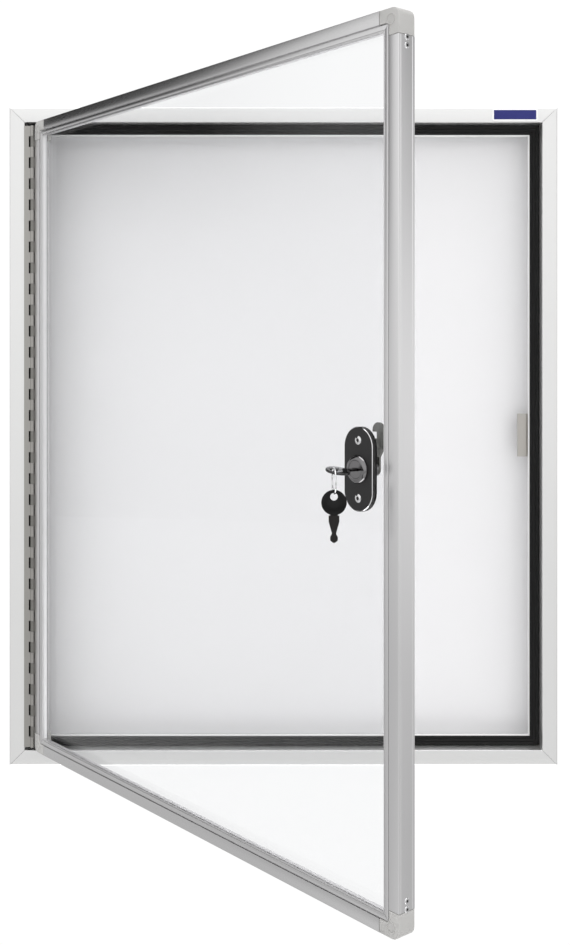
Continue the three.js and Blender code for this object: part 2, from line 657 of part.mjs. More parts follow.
// A bar's section: a flat face with a groove, a sloping lip with a notched inner edge, the pane's
// channel, and behind it a short rear lip. Two chambers run through it.
function barProfile() {
  const notchFront = BAR_LIP_DROP + BAR_LIP_SLOPE + BAR_NOTCH_START;
  const shape = outline([
    [0, 0, BAR_EDGE_RADIUS],
    [BAR_FLAT, 0],
    [BAR_FLAT, BAR_GROOVE_DEPTH],
    [BAR_FLAT + BAR_GROOVE_WIDTH, BAR_GROOVE_DEPTH],
    [BAR_FLAT + BAR_GROOVE_WIDTH, BAR_LIP_DROP],
    [BAR_WIDTH, BAR_LIP_DROP + BAR_LIP_SLOPE],
    [BAR_WIDTH, notchFront],
    [BAR_WIDTH - BAR_NOTCH_DEPTH, notchFront],
    [BAR_WIDTH - BAR_NOTCH_DEPTH, notchFront + BAR_NOTCH_WIDTH],
    [BAR_WIDTH, notchFront + BAR_NOTCH_WIDTH],
    [BAR_WIDTH, CHANNEL_FRONT],
    [CHANNEL_BOTTOM, CHANNEL_FRONT],
    [CHANNEL_BOTTOM, CHANNEL_REAR],
    [BAR_REAR_LIP, CHANNEL_REAR],
    [BAR_REAR_LIP, CHANNEL_REAR + BAR_REAR_LIP_EDGE],
    [BAR_REAR_FLAT, DOOR_THICKNESS],
    [0, DOOR_THICKNESS, BAR_EDGE_RADIUS],
  ]);
  const lipChamberFront = BAR_GROOVE_DEPTH + BAR_WALL;
  const lipChamberEnd = BAR_WIDTH - BAR_NOTCH_DEPTH - BAR_WALL;
  shape.holes.push(
    outline([
      [BAR_WALL, BAR_WALL],
      [CHANNEL_BOTTOM - BAR_WALL, BAR_WALL],
      [CHANNEL_BOTTOM - BAR_WALL, DOOR_THICKNESS - BAR_WALL],
      [BAR_WALL, DOOR_THICKNESS - BAR_WALL],
    ], new THREE.Path()),
    outline([
      [CHANNEL_BOTTOM, lipChamberFront],
      [lipChamberEnd, lipChamberFront],
      [lipChamberEnd, CHANNEL_FRONT - BAR_WALL],
      [CHANNEL_BOTTOM, CHANNEL_FRONT - BAR_WALL],
    ], new THREE.Path()),
  );
  return shape;
}

function doorBar(side) {
  const start = CORNER_LEG + SEAT_GAP;
  const bar = new THREE.ExtrudeGeometry(barProfile(), {
    depth: sideLength(side, DOOR_WIDTH, DOOR_HEIGHT) - 2 * start,
    bevelEnabled: false,
    curveSegments: EDGE_ARC_STEPS,
  });
  bar.translate(0, 0, start);
  return onSide(bar, side, DOOR_WIDTH, DOOR_HEIGHT, DOOR_MIDDLE_X, DOOR_FACE);
}

// The depth of the corner screws and their places along the lock stile.
const CORNER_SCREW_Y = DOOR_FACE + DOOR_THICKNESS / 2;
const FREE_EDGE_X = STILE_FROM_AXIS + DOOR_WIDTH;
const CORNER_SCREW_HEIGHTS = [0, 1].flatMap((step) => {
  const height = DOOR_HEIGHT / 2 - CORNER_SCREW_FIRST - step * CORNER_SCREW_PITCH;
  return [height, -height];
});

function cornerScrewHoles() {
  const radius = CORNER_SCREW_RADIUS + FIT_GAP;
  return CORNER_SCREW_HEIGHTS.map((height) => rod('x', radius, radius,
    FREE_EDGE_X - CORNER_SCREW_LENGTH - FIT_GAP, FREE_EDGE_X + CUT_OVERRUN)
    .translate(0, CORNER_SCREW_Y, height));
}

function cornerScrew(height) {
  const seat = FREE_EDGE_X + SEAT_GAP;
  const top = seat + CORNER_SCREW_HEAD_HEIGHT;
  const topRadius = CORNER_SCREW_HEAD_RADIUS - CORNER_SCREW_HEAD_HEIGHT;
  const head = rod('x', CORNER_SCREW_HEAD_RADIUS, topRadius, seat, top);
  const shank = rod('x', CORNER_SCREW_RADIUS, CORNER_SCREW_RADIUS,
    FREE_EDGE_X - CORNER_SCREW_LENGTH, seat + CORNER_SCREW_HEAD_HEIGHT / 2);
  const bars = [[topRadius, RECESS_WIDTH / 2], [RECESS_WIDTH / 2, topRadius]].map(([halfY, halfZ]) => box(
    [top - RECESS_DEPTH, -halfY, -halfZ],
    [top + CUT_OVERRUN, halfY, halfZ],
  ));
  return cut(join([head, shank]), bars).translate(0, CORNER_SCREW_Y, height);
}

// A moulded corner block: the bar's section in both legs, a rounded outer corner, a filleted
// inner corner, a slot for the pane and a tenon into each bar.
function doorCorner(corner) {
  const { turn, signX, signZ } = CORNERS[corner];
  const faceShape = outline([
    [0, 0, CORNER_RADIUS],
    [CORNER_LEG, 0],
    [CORNER_LEG, BAR_WIDTH],
    [BAR_WIDTH, BAR_WIDTH, CORNER_FILLET],
    [BAR_WIDTH, CORNER_LEG],
    [0, CORNER_LEG],
  ]);
  const near = BAR_WALL + FIT_GAP;
  const far = CHANNEL_BOTTOM - BAR_WALL - FIT_GAP;
  const tenonEnd = CORNER_LEG + CORNER_TENON;
  const tenonFront = DOOR_FACE + near;
  const tenonRear = DOOR_FACE + DOOR_THICKNESS - near;
  const block = join([
    plate(faceShape, DOOR_THICKNESS, DOOR_FACE),
    box([far, tenonFront, near], [tenonEnd, tenonRear, far]),
    box([near, tenonFront, far], [far, tenonRear, tenonEnd]),
    rod('y', CORNER_BOSS_RADIUS - CORNER_BOSS_HEIGHT, CORNER_BOSS_RADIUS,
      DOOR_FACE - CORNER_BOSS_HEIGHT, DOOR_FACE + BAR_WALL)
      .translate(BAR_WIDTH / 2, 0, BAR_WIDTH / 2),
  ]);
  const slot = box(
    [CHANNEL_BOTTOM, DOOR_FACE + CHANNEL_FRONT, CHANNEL_BOTTOM],
    [CORNER_LEG + CUT_OVERRUN, DOOR_FACE + CHANNEL_REAR, CORNER_LEG + CUT_OVERRUN],
  );
  const rear = box(
    [BAR_REAR_LIP, DOOR_FACE + CHANNEL_FRONT, BAR_REAR_LIP],
    [CORNER_LEG + CUT_OVERRUN, DOOR_FACE + DOOR_THICKNESS + CUT_OVERRUN, CORNER_LEG + CUT_OVERRUN],
  );
  const placed = cut(block, [slot, rear]);
  placed.rotateY(turn);
  placed.translate(DOOR_MIDDLE_X + signX * DOOR_WIDTH / 2, 0, signZ * DOOR_HEIGHT / 2);
  return signX > 0 ? cut(placed, cornerScrewHoles()) : placed;
}

function gasketProfile() {
  const outerFront = CHANNEL_FRONT + SEAT_GAP / 2;
  const outerRear = CHANNEL_REAR - SEAT_GAP / 2;
  const bottom = CHANNEL_BOTTOM + SEAT_GAP;
  const floor = PANE_INSET - SEAT_GAP;
  const frontEdge = BAR_WIDTH - GASKET_SET_IN;
  const rearEdge = BAR_REAR_LIP - GASKET_SET_IN;
  return outline([
    [bottom, outerFront],
    [frontEdge, outerFront],
    [frontEdge, PANE_SET_BACK - SEAT_GAP / 2],
    [floor, PANE_SET_BACK - SEAT_GAP / 2],
    [floor, PANE_SET_BACK + PANE_THICKNESS + SEAT_GAP / 2],
    [rearEdge, PANE_SET_BACK + PANE_THICKNESS + SEAT_GAP / 2],
    [rearEdge, outerRear],
    [bottom, outerRear],
  ]);
}

const PLATE_SCREW_HEIGHTS = [PLATE_SCREW_OFFSET, -PLATE_SCREW_OFFSET];

function pane() {
  const halfWidth = DOOR_WIDTH / 2 - PANE_INSET;
  const halfHeight = DOOR_HEIGHT / 2 - PANE_INSET;
  const sheet = box(
    [DOOR_MIDDLE_X - halfWidth, PANE_FRONT_Y, -halfHeight],
    [DOOR_MIDDLE_X + halfWidth, PANE_REAR_Y, halfHeight],
  );
  return cut(sheet, lockHoles(HOUSING_RADIUS + 2 * FIT_GAP));
}

// Lock: the holes that the housing and the two plate screws pass through
function lockHoles(housingHoleRadius) {
  const start = BEZEL_FRONT_Y - CUT_OVERRUN;
  const end = CAM_TIP_Y;
  const screwHole = PLATE_SCREW_RADIUS + FIT_GAP;
  return [
    rod('y', housingHoleRadius, housingHoleRadius, start, end, ROUND_FACETS).translate(LOCK_X, 0, 0),
    ...PLATE_SCREW_HEIGHTS.map((height) => rod('y', screwHole, screwHole, start, end)
      .translate(LOCK_X, 0, height)),
  ];
}

function stadium(width, height) {
  const radius = width / 2;
  const shape = new THREE.Shape();
  shape.absarc(0, height / 2 - radius, radius, 0, Math.PI, false);
  shape.absarc(0, radius - height / 2, radius, Math.PI, Math.PI * 2, false);
  shape.closePath();
  return shape;
}

function stadiumPlate(width, height, thickness, startY) {
  const body = plate(stadium(width, height), thickness, startY, STADIUM_ARC_STEPS);
  return cut(body.translate(LOCK_X, 0, 0), lockHoles(HOUSING_RADIUS + FIT_GAP));
}

// Outer lock plate with a chamfered front edge and countersunk screw holes
function lockPlate() {
  const bevelled = new THREE.ExtrudeGeometry(stadium(LOCK_PLATE_WIDTH, LOCK_PLATE_HEIGHT), {
    depth: LOCK_PLATE_THICKNESS,
    bevelEnabled: true,
    bevelThickness: LOCK_PLATE_CHAMFER,
    bevelSize: LOCK_PLATE_CHAMFER,
    bevelOffset: -LOCK_PLATE_CHAMFER,
    bevelSegments: 1,
    curveSegments: STADIUM_ARC_STEPS,
  });
  bevelled.rotateX(Math.PI / 2);
  bevelled.translate(0, PLATE_FRONT_Y + LOCK_PLATE_CHAMFER + LOCK_PLATE_THICKNESS, 0);
  const keep = box(
    [-LOCK_PLATE_WIDTH, PLATE_FRONT_Y - CUT_OVERRUN, -LOCK_PLATE_HEIGHT],
    [LOCK_PLATE_WIDTH, PLATE_REAR_Y, LOCK_PLATE_HEIGHT],
  );
  const body = common(bevelled, keep).translate(LOCK_X, 0, 0);
  const sinks = PLATE_SCREW_HEIGHTS.map((height) => plateScrewCone(PLATE_SINK_MARGIN)
    .translate(LOCK_X, 0, height));
  return cut(body, [...lockHoles(HOUSING_RADIUS + FIT_GAP), ...sinks]);
}

// The countersunk cone of a plate screw, widened all round by a margin.
function plateScrewCone(margin) {
  const top = PLATE_FRONT_Y - margin;
  return rod('y', PLATE_SCREW_HEAD_RADIUS + margin, PLATE_SCREW_RADIUS + margin,
    top, top + PLATE_SCREW_HEAD_HEIGHT + margin);
}

function plateScrew(height) {
  const head = rod('y', PLATE_SCREW_HEAD_RADIUS, PLATE_SCREW_RADIUS,
    PLATE_FRONT_Y, PLATE_FRONT_Y + PLATE_SCREW_HEAD_HEIGHT);
  const shank = rod('y', PLATE_SCREW_RADIUS, PLATE_SCREW_RADIUS,
    PLATE_FRONT_Y + PLATE_SCREW_HEAD_HEIGHT / 2, INNER_PLATE_Y + INNER_PLATE_THICKNESS);
  const socket = rod('y', HEX_SOCKET_RADIUS, HEX_SOCKET_RADIUS,
    PLATE_FRONT_Y - CUT_OVERRUN, PLATE_FRONT_Y + HEX_SOCKET_DEPTH, 6);
  return cut(join([head, shank]), [socket]).translate(LOCK_X, 0, height);
}

// Lock parts below are drawn about the lock axis, with y along it.
function lockHousing() {
  const flangeFloor = BEZEL_FRONT_Y + PLUG_FLANGE_THICKNESS + FIT_GAP;
  return turned([
    [BEZEL_FRONT_RADIUS, BEZEL_FRONT_Y],
    [BEZEL_BASE_RADIUS, BEZEL_BASE_Y],
    [HOUSING_RADIUS, BEZEL_BASE_Y],
    [HOUSING_RADIUS, HOUSING_END_Y],
    [PLUG_TAIL_RADIUS + FIT_GAP, HOUSING_END_Y],
    [PLUG_TAIL_RADIUS + FIT_GAP, HOUSING_END_Y - HOUSING_REAR_WALL],
    [PLUG_RADIUS + FIT_GAP, HOUSING_END_Y - HOUSING_REAR_WALL],
    [PLUG_RADIUS + FIT_GAP, flangeFloor],
    [PLUG_FLANGE_RADIUS + FIT_GAP, flangeFloor],
    [PLUG_FLANGE_RADIUS + FIT_GAP, BEZEL_FRONT_Y],
  ]);
}

function lockNut() {
  const radius = HOUSING_RADIUS + FIT_GAP;
  return cut(
    rod('y', NUT_RADIUS, NUT_RADIUS, NUT_Y, NUT_Y + NUT_THICKNESS, 6),
    [rod('y', radius, radius, NUT_Y - CUT_OVERRUN, NUT_Y + NUT_THICKNESS + CUT_OVERRUN, ROUND_FACETS)],
  );
}

const PLUG_SHOULDER_Y = HOUSING_END_Y - HOUSING_REAR_WALL - FIT_GAP;
const PLUG_END_Y = CAM_EYE_Y + CAM_THICKNESS - SEAT_GAP;

function lockPlug() {
  const body = turned([
    [0, BEZEL_FRONT_Y + SEAT_GAP],
    [PLUG_FLANGE_RADIUS, BEZEL_FRONT_Y + SEAT_GAP],
    [PLUG_FLANGE_RADIUS, BEZEL_FRONT_Y + PLUG_FLANGE_THICKNESS],
    [PLUG_RADIUS, BEZEL_FRONT_Y + PLUG_FLANGE_THICKNESS],
    [PLUG_RADIUS, PLUG_SHOULDER_Y],
    [PLUG_TAIL_RADIUS, PLUG_SHOULDER_Y],
    [PLUG_TAIL_RADIUS, HOUSING_END_Y],
    [0, HOUSING_END_Y],
  ]);
  const half = PLUG_SQUARE / 2;
  const square = box([-half, PLUG_SHOULDER_Y, -half], [half, PLUG_END_Y, half]);
  const slotHalfHeight = KEY_THICKNESS / 2 + FIT_GAP;
  const keyway = box(
    [-KEYWAY_WIDTH / 2, BEZEL_FRONT_Y - CUT_OVERRUN, -slotHalfHeight],
    [KEYWAY_WIDTH / 2, BEZEL_FRONT_Y + KEYWAY_DEPTH, slotHalfHeight],
  );
  const screwHoleRadius = CAM_SCREW_RADIUS + FIT_GAP;
  const screwHole = rod('y', screwHoleRadius, screwHoleRadius,
    PLUG_END_Y - CAM_SCREW_LENGTH, PLUG_END_Y + CUT_OVERRUN);
  return cut(join([body, square]), [keyway, screwHole]);
}

// Cam: its outline in the door's plane, cut from a strip cranked in depth
function lockCam() {
  const notchTop = CAM_REACH - CAM_HOOK_HEIGHT;
  const notchBottom = notchTop - CAM_NOTCH_HEIGHT;
  const face = outline([
    [CAM_EYE_RADIUS, -CAM_EYE_RADIUS, CAM_EYE_RADIUS * CAM_EYE_ROUND_SHARE],
    [CAM_EYE_RADIUS, CAM_CRANK_START],
    [CAM_STEM_RIGHT, CAM_CRANK_END],
    [CAM_STEM_RIGHT, CAM_REACH, CAM_CORNER_RADIUS],
    [-CAM_HOOK_LEFT, CAM_REACH, CAM_CORNER_RADIUS],
    [-CAM_HOOK_LEFT, notchTop],
    [-CAM_STEM_LEFT + CAM_NOTCH_DEPTH, notchTop],
    [-CAM_STEM_LEFT + CAM_NOTCH_DEPTH, notchBottom],
    [-CAM_STEM_LEFT, notchBottom],
    [-CAM_STEM_LEFT, CAM_CRANK_END],
    [-CAM_EYE_RADIUS, CAM_CRANK_START],
    [-CAM_EYE_RADIUS, -CAM_EYE_RADIUS, CAM_EYE_RADIUS * CAM_EYE_ROUND_SHARE],
  ]);
  const block = plate(face, CAM_CRANK + CAM_THICKNESS, CAM_EYE_Y);
  const strip = new THREE.ExtrudeGeometry(outline([
    [CAM_EYE_Y, -CAM_REACH],
    [CAM_EYE_Y + CAM_THICKNESS, -CAM_REACH],
    [CAM_EYE_Y + CAM_THICKNESS, CAM_CRANK_START],
    [CAM_TIP_Y + CAM_THICKNESS, CAM_CRANK_END],
    [CAM_TIP_Y + CAM_THICKNESS, CAM_REACH + CUT_OVERRUN],
    [CAM_TIP_Y, CAM_REACH + CUT_OVERRUN],
    [CAM_TIP_Y, CAM_CRANK_END],
    [CAM_EYE_Y, CAM_CRANK_START],
  ]), { depth: 2 * CAM_REACH, bevelEnabled: false });
  strip.translate(0, 0, -CAM_REACH);
  strip.applyMatrix4(new THREE.Matrix4().makeBasis(
    new THREE.Vector3(0, 1, 0),
    new THREE.Vector3(0, 0, 1),
    new THREE.Vector3(1, 0, 0),
  ));
  const half = PLUG_SQUARE / 2 + SEAT_GAP;
  const eye = box(
    [-half, CAM_EYE_Y - CUT_OVERRUN, -half],
    [half, CAM_EYE_Y + CAM_THICKNESS + CUT_OVERRUN, half],
  );
  return cut(common(block, strip), [eye]);
}

function camScrew() {
  const seat = CAM_EYE_Y + CAM_THICKNESS + SEAT_GAP;
  const head = rod('y', CAM_SCREW_HEAD_RADIUS, CAM_SCREW_HEAD_RADIUS - RING_BEVEL,
    seat, seat + CAM_SCREW_HEAD_HEIGHT);
  const shank = rod('y', CAM_SCREW_RADIUS, CAM_SCREW_RADIUS,
    PLUG_END_Y - CAM_SCREW_LENGTH + FIT_GAP, seat + CAM_SCREW_HEAD_HEIGHT / 2);
  const slot = box(
    [-CAM_SCREW_HEAD_RADIUS, seat + CAM_SCREW_HEAD_HEIGHT - RECESS_DEPTH, -RECESS_WIDTH / 2],
    [CAM_SCREW_HEAD_RADIUS, seat + CAM_SCREW_HEAD_HEIGHT + CUT_OVERRUN, RECESS_WIDTH / 2],
  );
  return cut(join([head, shank]), [slot]);
}

// Keys are drawn in (x, z) with the head's outer end at z = 0 and the blade pointing down.
function tang(extra) {
  const headEnd = -2 * KEY_HEAD_RADIUS;
  return box(
    [-KEY_TANG_WIDTH / 2 - extra, -KEY_TANG_THICKNESS / 2 - extra, headEnd - CUT_OVERRUN * (extra > 0)],
    [KEY_TANG_WIDTH / 2 + extra, KEY_TANG_THICKNESS / 2 + extra, headEnd + KEY_TANG_LENGTH + extra],
  );
}

function keyHead() {
  const shape = circle(0, -KEY_HEAD_RADIUS, KEY_HEAD_RADIUS);
  shape.holes.push(circle(0, -KEY_HOLE_FROM_END, KEY_HOLE_RADIUS, new THREE.Path()));
  const disc = plate(shape, KEY_HEAD_THICKNESS, -KEY_HEAD_THICKNESS / 2, KEY_ARC_STEPS);
  return cut(disc, [tang(SEAT_GAP)]);
}

function keyBlade() {
  const shoulder = -2 * KEY_HEAD_RADIUS - SEAT_GAP;
  const taperStart = -2 * KEY_HEAD_RADIUS - KEY_SHOULDER_LENGTH;
  const taperEnd = taperStart - KEY_TAPER_LENGTH;
  const waist = taperEnd - KEY_WAIST_LENGTH;
  const half = (width) => width / 2;
  const shape = outline([
    [half(KEY_SHOULDER_WIDTH), shoulder],
    [-half(KEY_SHOULDER_WIDTH), shoulder],
    [-half(KEY_SHOULDER_WIDTH), taperStart],
    [-half(KEY_BLADE_WIDTH), taperEnd],
    [-half(KEY_WAIST_WIDTH), waist],
    [-half(KEY_TIP_WIDTH), waist - KEY_TIP_LENGTH * KEY_TIP_WIDEST_SHARES[0]],
    [-half(KEY_TIP_WIDTH), waist - KEY_TIP_LENGTH * KEY_TIP_WIDEST_SHARES[1]],
    [0, -KEY_LENGTH, KEY_TIP_RADIUS],
    [half(KEY_TIP_WIDTH), waist - KEY_TIP_LENGTH * KEY_TIP_WIDEST_SHARES[1]],
    [half(KEY_TIP_WIDTH), waist - KEY_TIP_LENGTH * KEY_TIP_WIDEST_SHARES[0]],
    [half(KEY_WAIST_WIDTH), waist],
    [half(KEY_BLADE_WIDTH), taperEnd],
    [half(KEY_SHOULDER_WIDTH), taperStart],
  ]);
  const blade = plate(shape, KEY_THICKNESS, -KEY_THICKNESS / 2);
  return join([blade, tang(0).translate(0, 0, -SEAT_GAP)]);
}

function keyRing() {
  const inner = RING_RADIUS - RING_WIRE_RADIAL / 2;
  const outer = RING_RADIUS + RING_WIRE_RADIAL / 2;
  const half = RING_WIRE_AXIAL / 2;
  const ring = turned([
    [inner, half - RING_BEVEL],
    [inner + RING_BEVEL, half],
    [outer - RING_BEVEL, half],
    [outer, half - RING_BEVEL],
    [outer, RING_BEVEL - half],
    [outer - RING_BEVEL, -half],
    [inner + RING_BEVEL, -half],
    [inner, RING_BEVEL - half],
  ]);
  return ring.rotateZ(Math.PI / 2);
}

function labelPlate() {
  const right = CASE_WIDTH / 2 - LABEL_FROM_RIGHT;
  const middle = (CASE_HEIGHT - FRAME_FACE) / 2;
  const shape = outline([
    [right - LABEL_WIDTH, middle - LABEL_HEIGHT / 2, LABEL_CORNER_RADIUS],
    [right, middle - LABEL_HEIGHT / 2, LABEL_CORNER_RADIUS],
    [right, middle + LABEL_HEIGHT / 2, LABEL_CORNER_RADIUS],
    [right - LABEL_WIDTH, middle + LABEL_HEIGHT / 2, LABEL_CORNER_RADIUS],
  ]);
  return plate(shape, LABEL_THICKNESS, FRONT_Y - SEAT_GAP - LABEL_THICKNESS, EDGE_ARC_STEPS);
}

// Assembly

const board = new THREE.Group();
const door = new THREE.Group();
const lock = new THREE.Group();
const keyInLock = new THREE.Group();
const ringAndSpare = new THREE.Group();

// Case
const caseRivetHoles = RIVET_HEIGHTS.map((height) => rod('x', RIVET_RADIUS + FIT_GAP,
  RIVET_RADIUS + FIT_GAP, -OPENING_WIDTH / 2 - FRAME_WALL - CUT_OVERRUN, -OPENING_WIDTH / 2 + CUT_OVERRUN)
  .translate(0, RIVET_DEPTH_IN_CASE, height));
const FRAME_CUTS = {
  top: [],
  bottom: [],
  left: caseRivetHoles,
  right: STRIKE_SCREW_HEIGHTS.map((height) => strikeScrewHole(height)),
};
Object.keys(SIDES).forEach((side) => {
  board.add(named(`frame_${side}`, cut(frameBar(side), FRAME_CUTS[side]), ANODISED));
  const sealStrip = mitredBar(sealProfile(), sideLength(side, CASE_WIDTH, CASE_HEIGHT));
  board.add(named(`seal_${side}`,
    onSide(sealStrip, side, CASE_WIDTH, CASE_HEIGHT, 0, FRONT_Y), RUBBER_BLACK));
});
Object.entries(CORNERS).forEach(([corner, { turn, signX, signZ }]) => {
  board.add(named(`frame_key_${corner}`, cornerKey(turn, signX, signZ), ZINC));
});
board.add(named('back_sheet', backPiece(SHEET_THICKNESS, PANEL_FRONT), WHITE_ENAMEL));
board.add(named('backing_board', backPiece(BOARD_THICKNESS, PANEL_FRONT + SHEET_THICKNESS), BOARD_GREY));
board.add(named('strike_plate', strikePlate(), ZINC));
board.add(named('strike_screw_upper', strikeScrew(STRIKE_SCREW_OFFSET), STEEL));
board.add(named('strike_screw_lower', strikeScrew(-STRIKE_SCREW_OFFSET), STEEL));
board.add(named('label_plate', labelPlate(), BLUE_LABEL));

// Hinge on the case side
const caseHinge = new THREE.Group();
caseHinge.position.set(AXIS_X, AXIS_Y, 0);
caseHinge.add(named('hinge_case_leaf', caseLeaf(), ZINC));
caseHinge.add(named('hinge_pin', hingePin(), STEEL));
const RIVET_NAMES = ['lower', 'middle', 'upper'];
RIVET_HEIGHTS.forEach((height, number) => {
  const seat = SEAT_GAP + LEAF_THICKNESS + SEAT_GAP - HINGE_AXIS_INSET;
  const piece = named(`hinge_case_rivet_${RIVET_NAMES[number]}`,
    rivet(seat, -1, LEAF_THICKNESS + FRAME_WALL), STEEL);
  piece.position.set(0, RIVET_DEPTH_IN_CASE - AXIS_Y, height);
  caseHinge.add(piece);
});
board.add(caseHinge);

// Door
door.position.set(AXIS_X, AXIS_Y, 0);
door.rotation.z = THREE.MathUtils.degToRad(-DOOR_OPEN_DEGREES);
const doorRivetHoles = RIVET_HEIGHTS.map((height) => rod('x', RIVET_RADIUS + FIT_GAP,
  RIVET_RADIUS + FIT_GAP, 0, STILE_FROM_AXIS + BAR_WALL + CUT_OVERRUN)
  .translate(0, DOOR_RIVET_Y, height));
const BAR_CUTS = { top: [], bottom: [], left: doorRivetHoles, right: cornerScrewHoles() };
const BAR_NAMES = {
  top: 'door_rail_top', bottom: 'door_rail_bottom', left: 'door_stile_hinge', right: 'door_stile_lock',
};
Object.keys(SIDES).forEach((side) => {
  door.add(named(BAR_NAMES[side], cut(doorBar(side), BAR_CUTS[side]), DOOR_ALUMINIUM));
  const gasket = mitredBar(gasketProfile(), sideLength(side, DOOR_WIDTH, DOOR_HEIGHT));
  door.add(named(`pane_gasket_${side}`,
    onSide(gasket, side, DOOR_WIDTH, DOOR_HEIGHT, DOOR_MIDDLE_X, DOOR_FACE), RUBBER_BLACK));
});
Object.keys(CORNERS).forEach((corner) => {
  door.add(named(`door_corner_${corner}`, doorCorner(corner), GREY_PLASTIC));
});
const CORNER_SCREW_NAMES = ['top_outer', 'bottom_outer', 'top_inner', 'bottom_inner'];
CORNER_SCREW_HEIGHTS.forEach((height, number) => {
  door.add(named(`corner_screw_${CORNER_SCREW_NAMES[number]}`, cornerScrew(height), CHROME));
});
door.add(named('pane', pane(), GLAZING));
door.add(named('hinge_door_leaf', doorLeaf(), ZINC));
RIVET_HEIGHTS.forEach((height, number) => {
  const seat = STILE_FROM_AXIS - SEAT_GAP - LEAF_THICKNESS - SEAT_GAP;
  const piece = named(`hinge_door_rivet_${RIVET_NAMES[number]}`,
    rivet(seat, 1, LEAF_THICKNESS + BAR_WALL), STEEL);
  piece.position.set(0, DOOR_RIVET_Y, height);
  door.add(piece);
});

// Lock
door.add(named('lock_plate', lockPlate(), BLACK_SATIN));
door.add(named('lock_gasket', stadiumPlate(LOCK_PLATE_WIDTH, LOCK_PLATE_HEIGHT,
  LOCK_GASKET_THICKNESS, PLATE_REAR_Y + SEAT_GAP), RUBBER_BLACK));
door.add(named('lock_inner_plate', stadiumPlate(INNER_PLATE_WIDTH, INNER_PLATE_HEIGHT,
  INNER_PLATE_THICKNESS, INNER_PLATE_Y), ZINC));
door.add(named('lock_plate_screw_upper', plateScrew(PLATE_SCREW_OFFSET), CHROME));
door.add(named('lock_plate_screw_lower', plateScrew(-PLATE_SCREW_OFFSET), CHROME));
lock.position.set(LOCK_X, 0, 0);
lock.add(named('lock_housing', lockHousing(), BLACK_SATIN));
lock.add(named('lock_nut', lockNut(), BLACK_SATIN));
lock.add(named('lock_plug', lockPlug(), CHROME));
lock.add(named('lock_cam', lockCam(), STEEL));
lock.add(named('cam_screw', camScrew(), STEEL));
door.add(lock);

// Key in the lock: turned so that its head lies flat and its blade points along +y
keyInLock.position.set(0, DOOR_FACE - KEY_HEAD_PROUD, 0);
keyInLock.rotation.x = Math.PI / 2;
keyInLock.add(named('key_blade', keyBlade(), CHROME));
keyInLock.add(named('key_head', keyHead(), BLACK_PLASTIC));
lock.add(keyInLock);

// Ring through that key, seen edge on from the front, with the spare key hanging from it
const openAngle = THREE.MathUtils.degToRad(DOOR_OPEN_DEGREES);
const ringBottomInside = RING_RADIUS - RING_WIRE_RADIAL / 2;
ringAndSpare.position.set(
  RING_OFFSET * Math.sin(openAngle),
  DOOR_FACE - KEY_HEAD_PROUD + KEY_HOLE_FROM_END - RING_OFFSET * Math.cos(openAngle),
  KEY_HEAD_THICKNESS / 2 - RING_TOP_DROP,
);
ringAndSpare.rotation.z = openAngle;
ringAndSpare.add(named('key_ring', keyRing(), CHROME));
const spareBlade = named('spare_key_blade', keyBlade(), CHROME);
const spareHead = named('spare_key_head', keyHead(), BLACK_PLASTIC);
[spareBlade, spareHead].forEach((piece) => {
  piece.position.z = KEY_HOLE_FROM_END - KEY_HOLE_RADIUS + SPARE_KEY_GAP - ringBottomInside;
  ringAndSpare.add(piece);
});
lock.add(ringAndSpare);
board.add(door);

export default board;
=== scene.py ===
"""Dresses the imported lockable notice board: metal, rubber, glass and the fine shapes of its parts.

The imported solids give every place. Sizes are metres, +Z is up, the wall plane is y = 0 and the
reader stands at negative y. Door pieces are drawn about the hinge axis and lock pieces about the
lock's own axis, and both are then turned to the angle at which the door stands open.
"""

import json
import math

import bmesh
import bpy
import numpy as np
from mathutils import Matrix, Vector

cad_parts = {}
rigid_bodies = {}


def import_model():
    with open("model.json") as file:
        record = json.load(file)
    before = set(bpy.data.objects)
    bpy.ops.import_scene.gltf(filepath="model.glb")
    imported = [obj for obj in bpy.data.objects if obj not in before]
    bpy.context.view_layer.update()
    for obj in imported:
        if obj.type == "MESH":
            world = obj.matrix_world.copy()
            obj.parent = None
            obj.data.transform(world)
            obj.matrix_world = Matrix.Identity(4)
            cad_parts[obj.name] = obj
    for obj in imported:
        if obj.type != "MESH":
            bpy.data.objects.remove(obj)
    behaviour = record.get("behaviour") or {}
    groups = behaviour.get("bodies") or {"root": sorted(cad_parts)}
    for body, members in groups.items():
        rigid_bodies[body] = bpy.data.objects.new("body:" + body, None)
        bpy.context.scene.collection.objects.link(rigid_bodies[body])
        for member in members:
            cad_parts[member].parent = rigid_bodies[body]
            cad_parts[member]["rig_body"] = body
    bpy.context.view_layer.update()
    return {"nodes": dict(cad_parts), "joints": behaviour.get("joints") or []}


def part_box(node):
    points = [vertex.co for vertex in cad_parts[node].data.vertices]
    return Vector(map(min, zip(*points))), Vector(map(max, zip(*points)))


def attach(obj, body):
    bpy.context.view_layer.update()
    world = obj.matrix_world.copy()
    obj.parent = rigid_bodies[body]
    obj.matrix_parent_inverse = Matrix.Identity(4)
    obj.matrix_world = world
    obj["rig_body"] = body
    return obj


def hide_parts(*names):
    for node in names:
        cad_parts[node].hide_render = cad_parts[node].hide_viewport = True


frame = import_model()

bl_info = {
    "name": "Lockable notice board",
    "version": (1, 0, 0),
    "blender": (4, 5, 0),
    "location": "3D View > Sidebar > Notice board",
    "description": "Builds the fine pieces and finishes of a lockable notice board",
    "category": "Add Mesh",
}

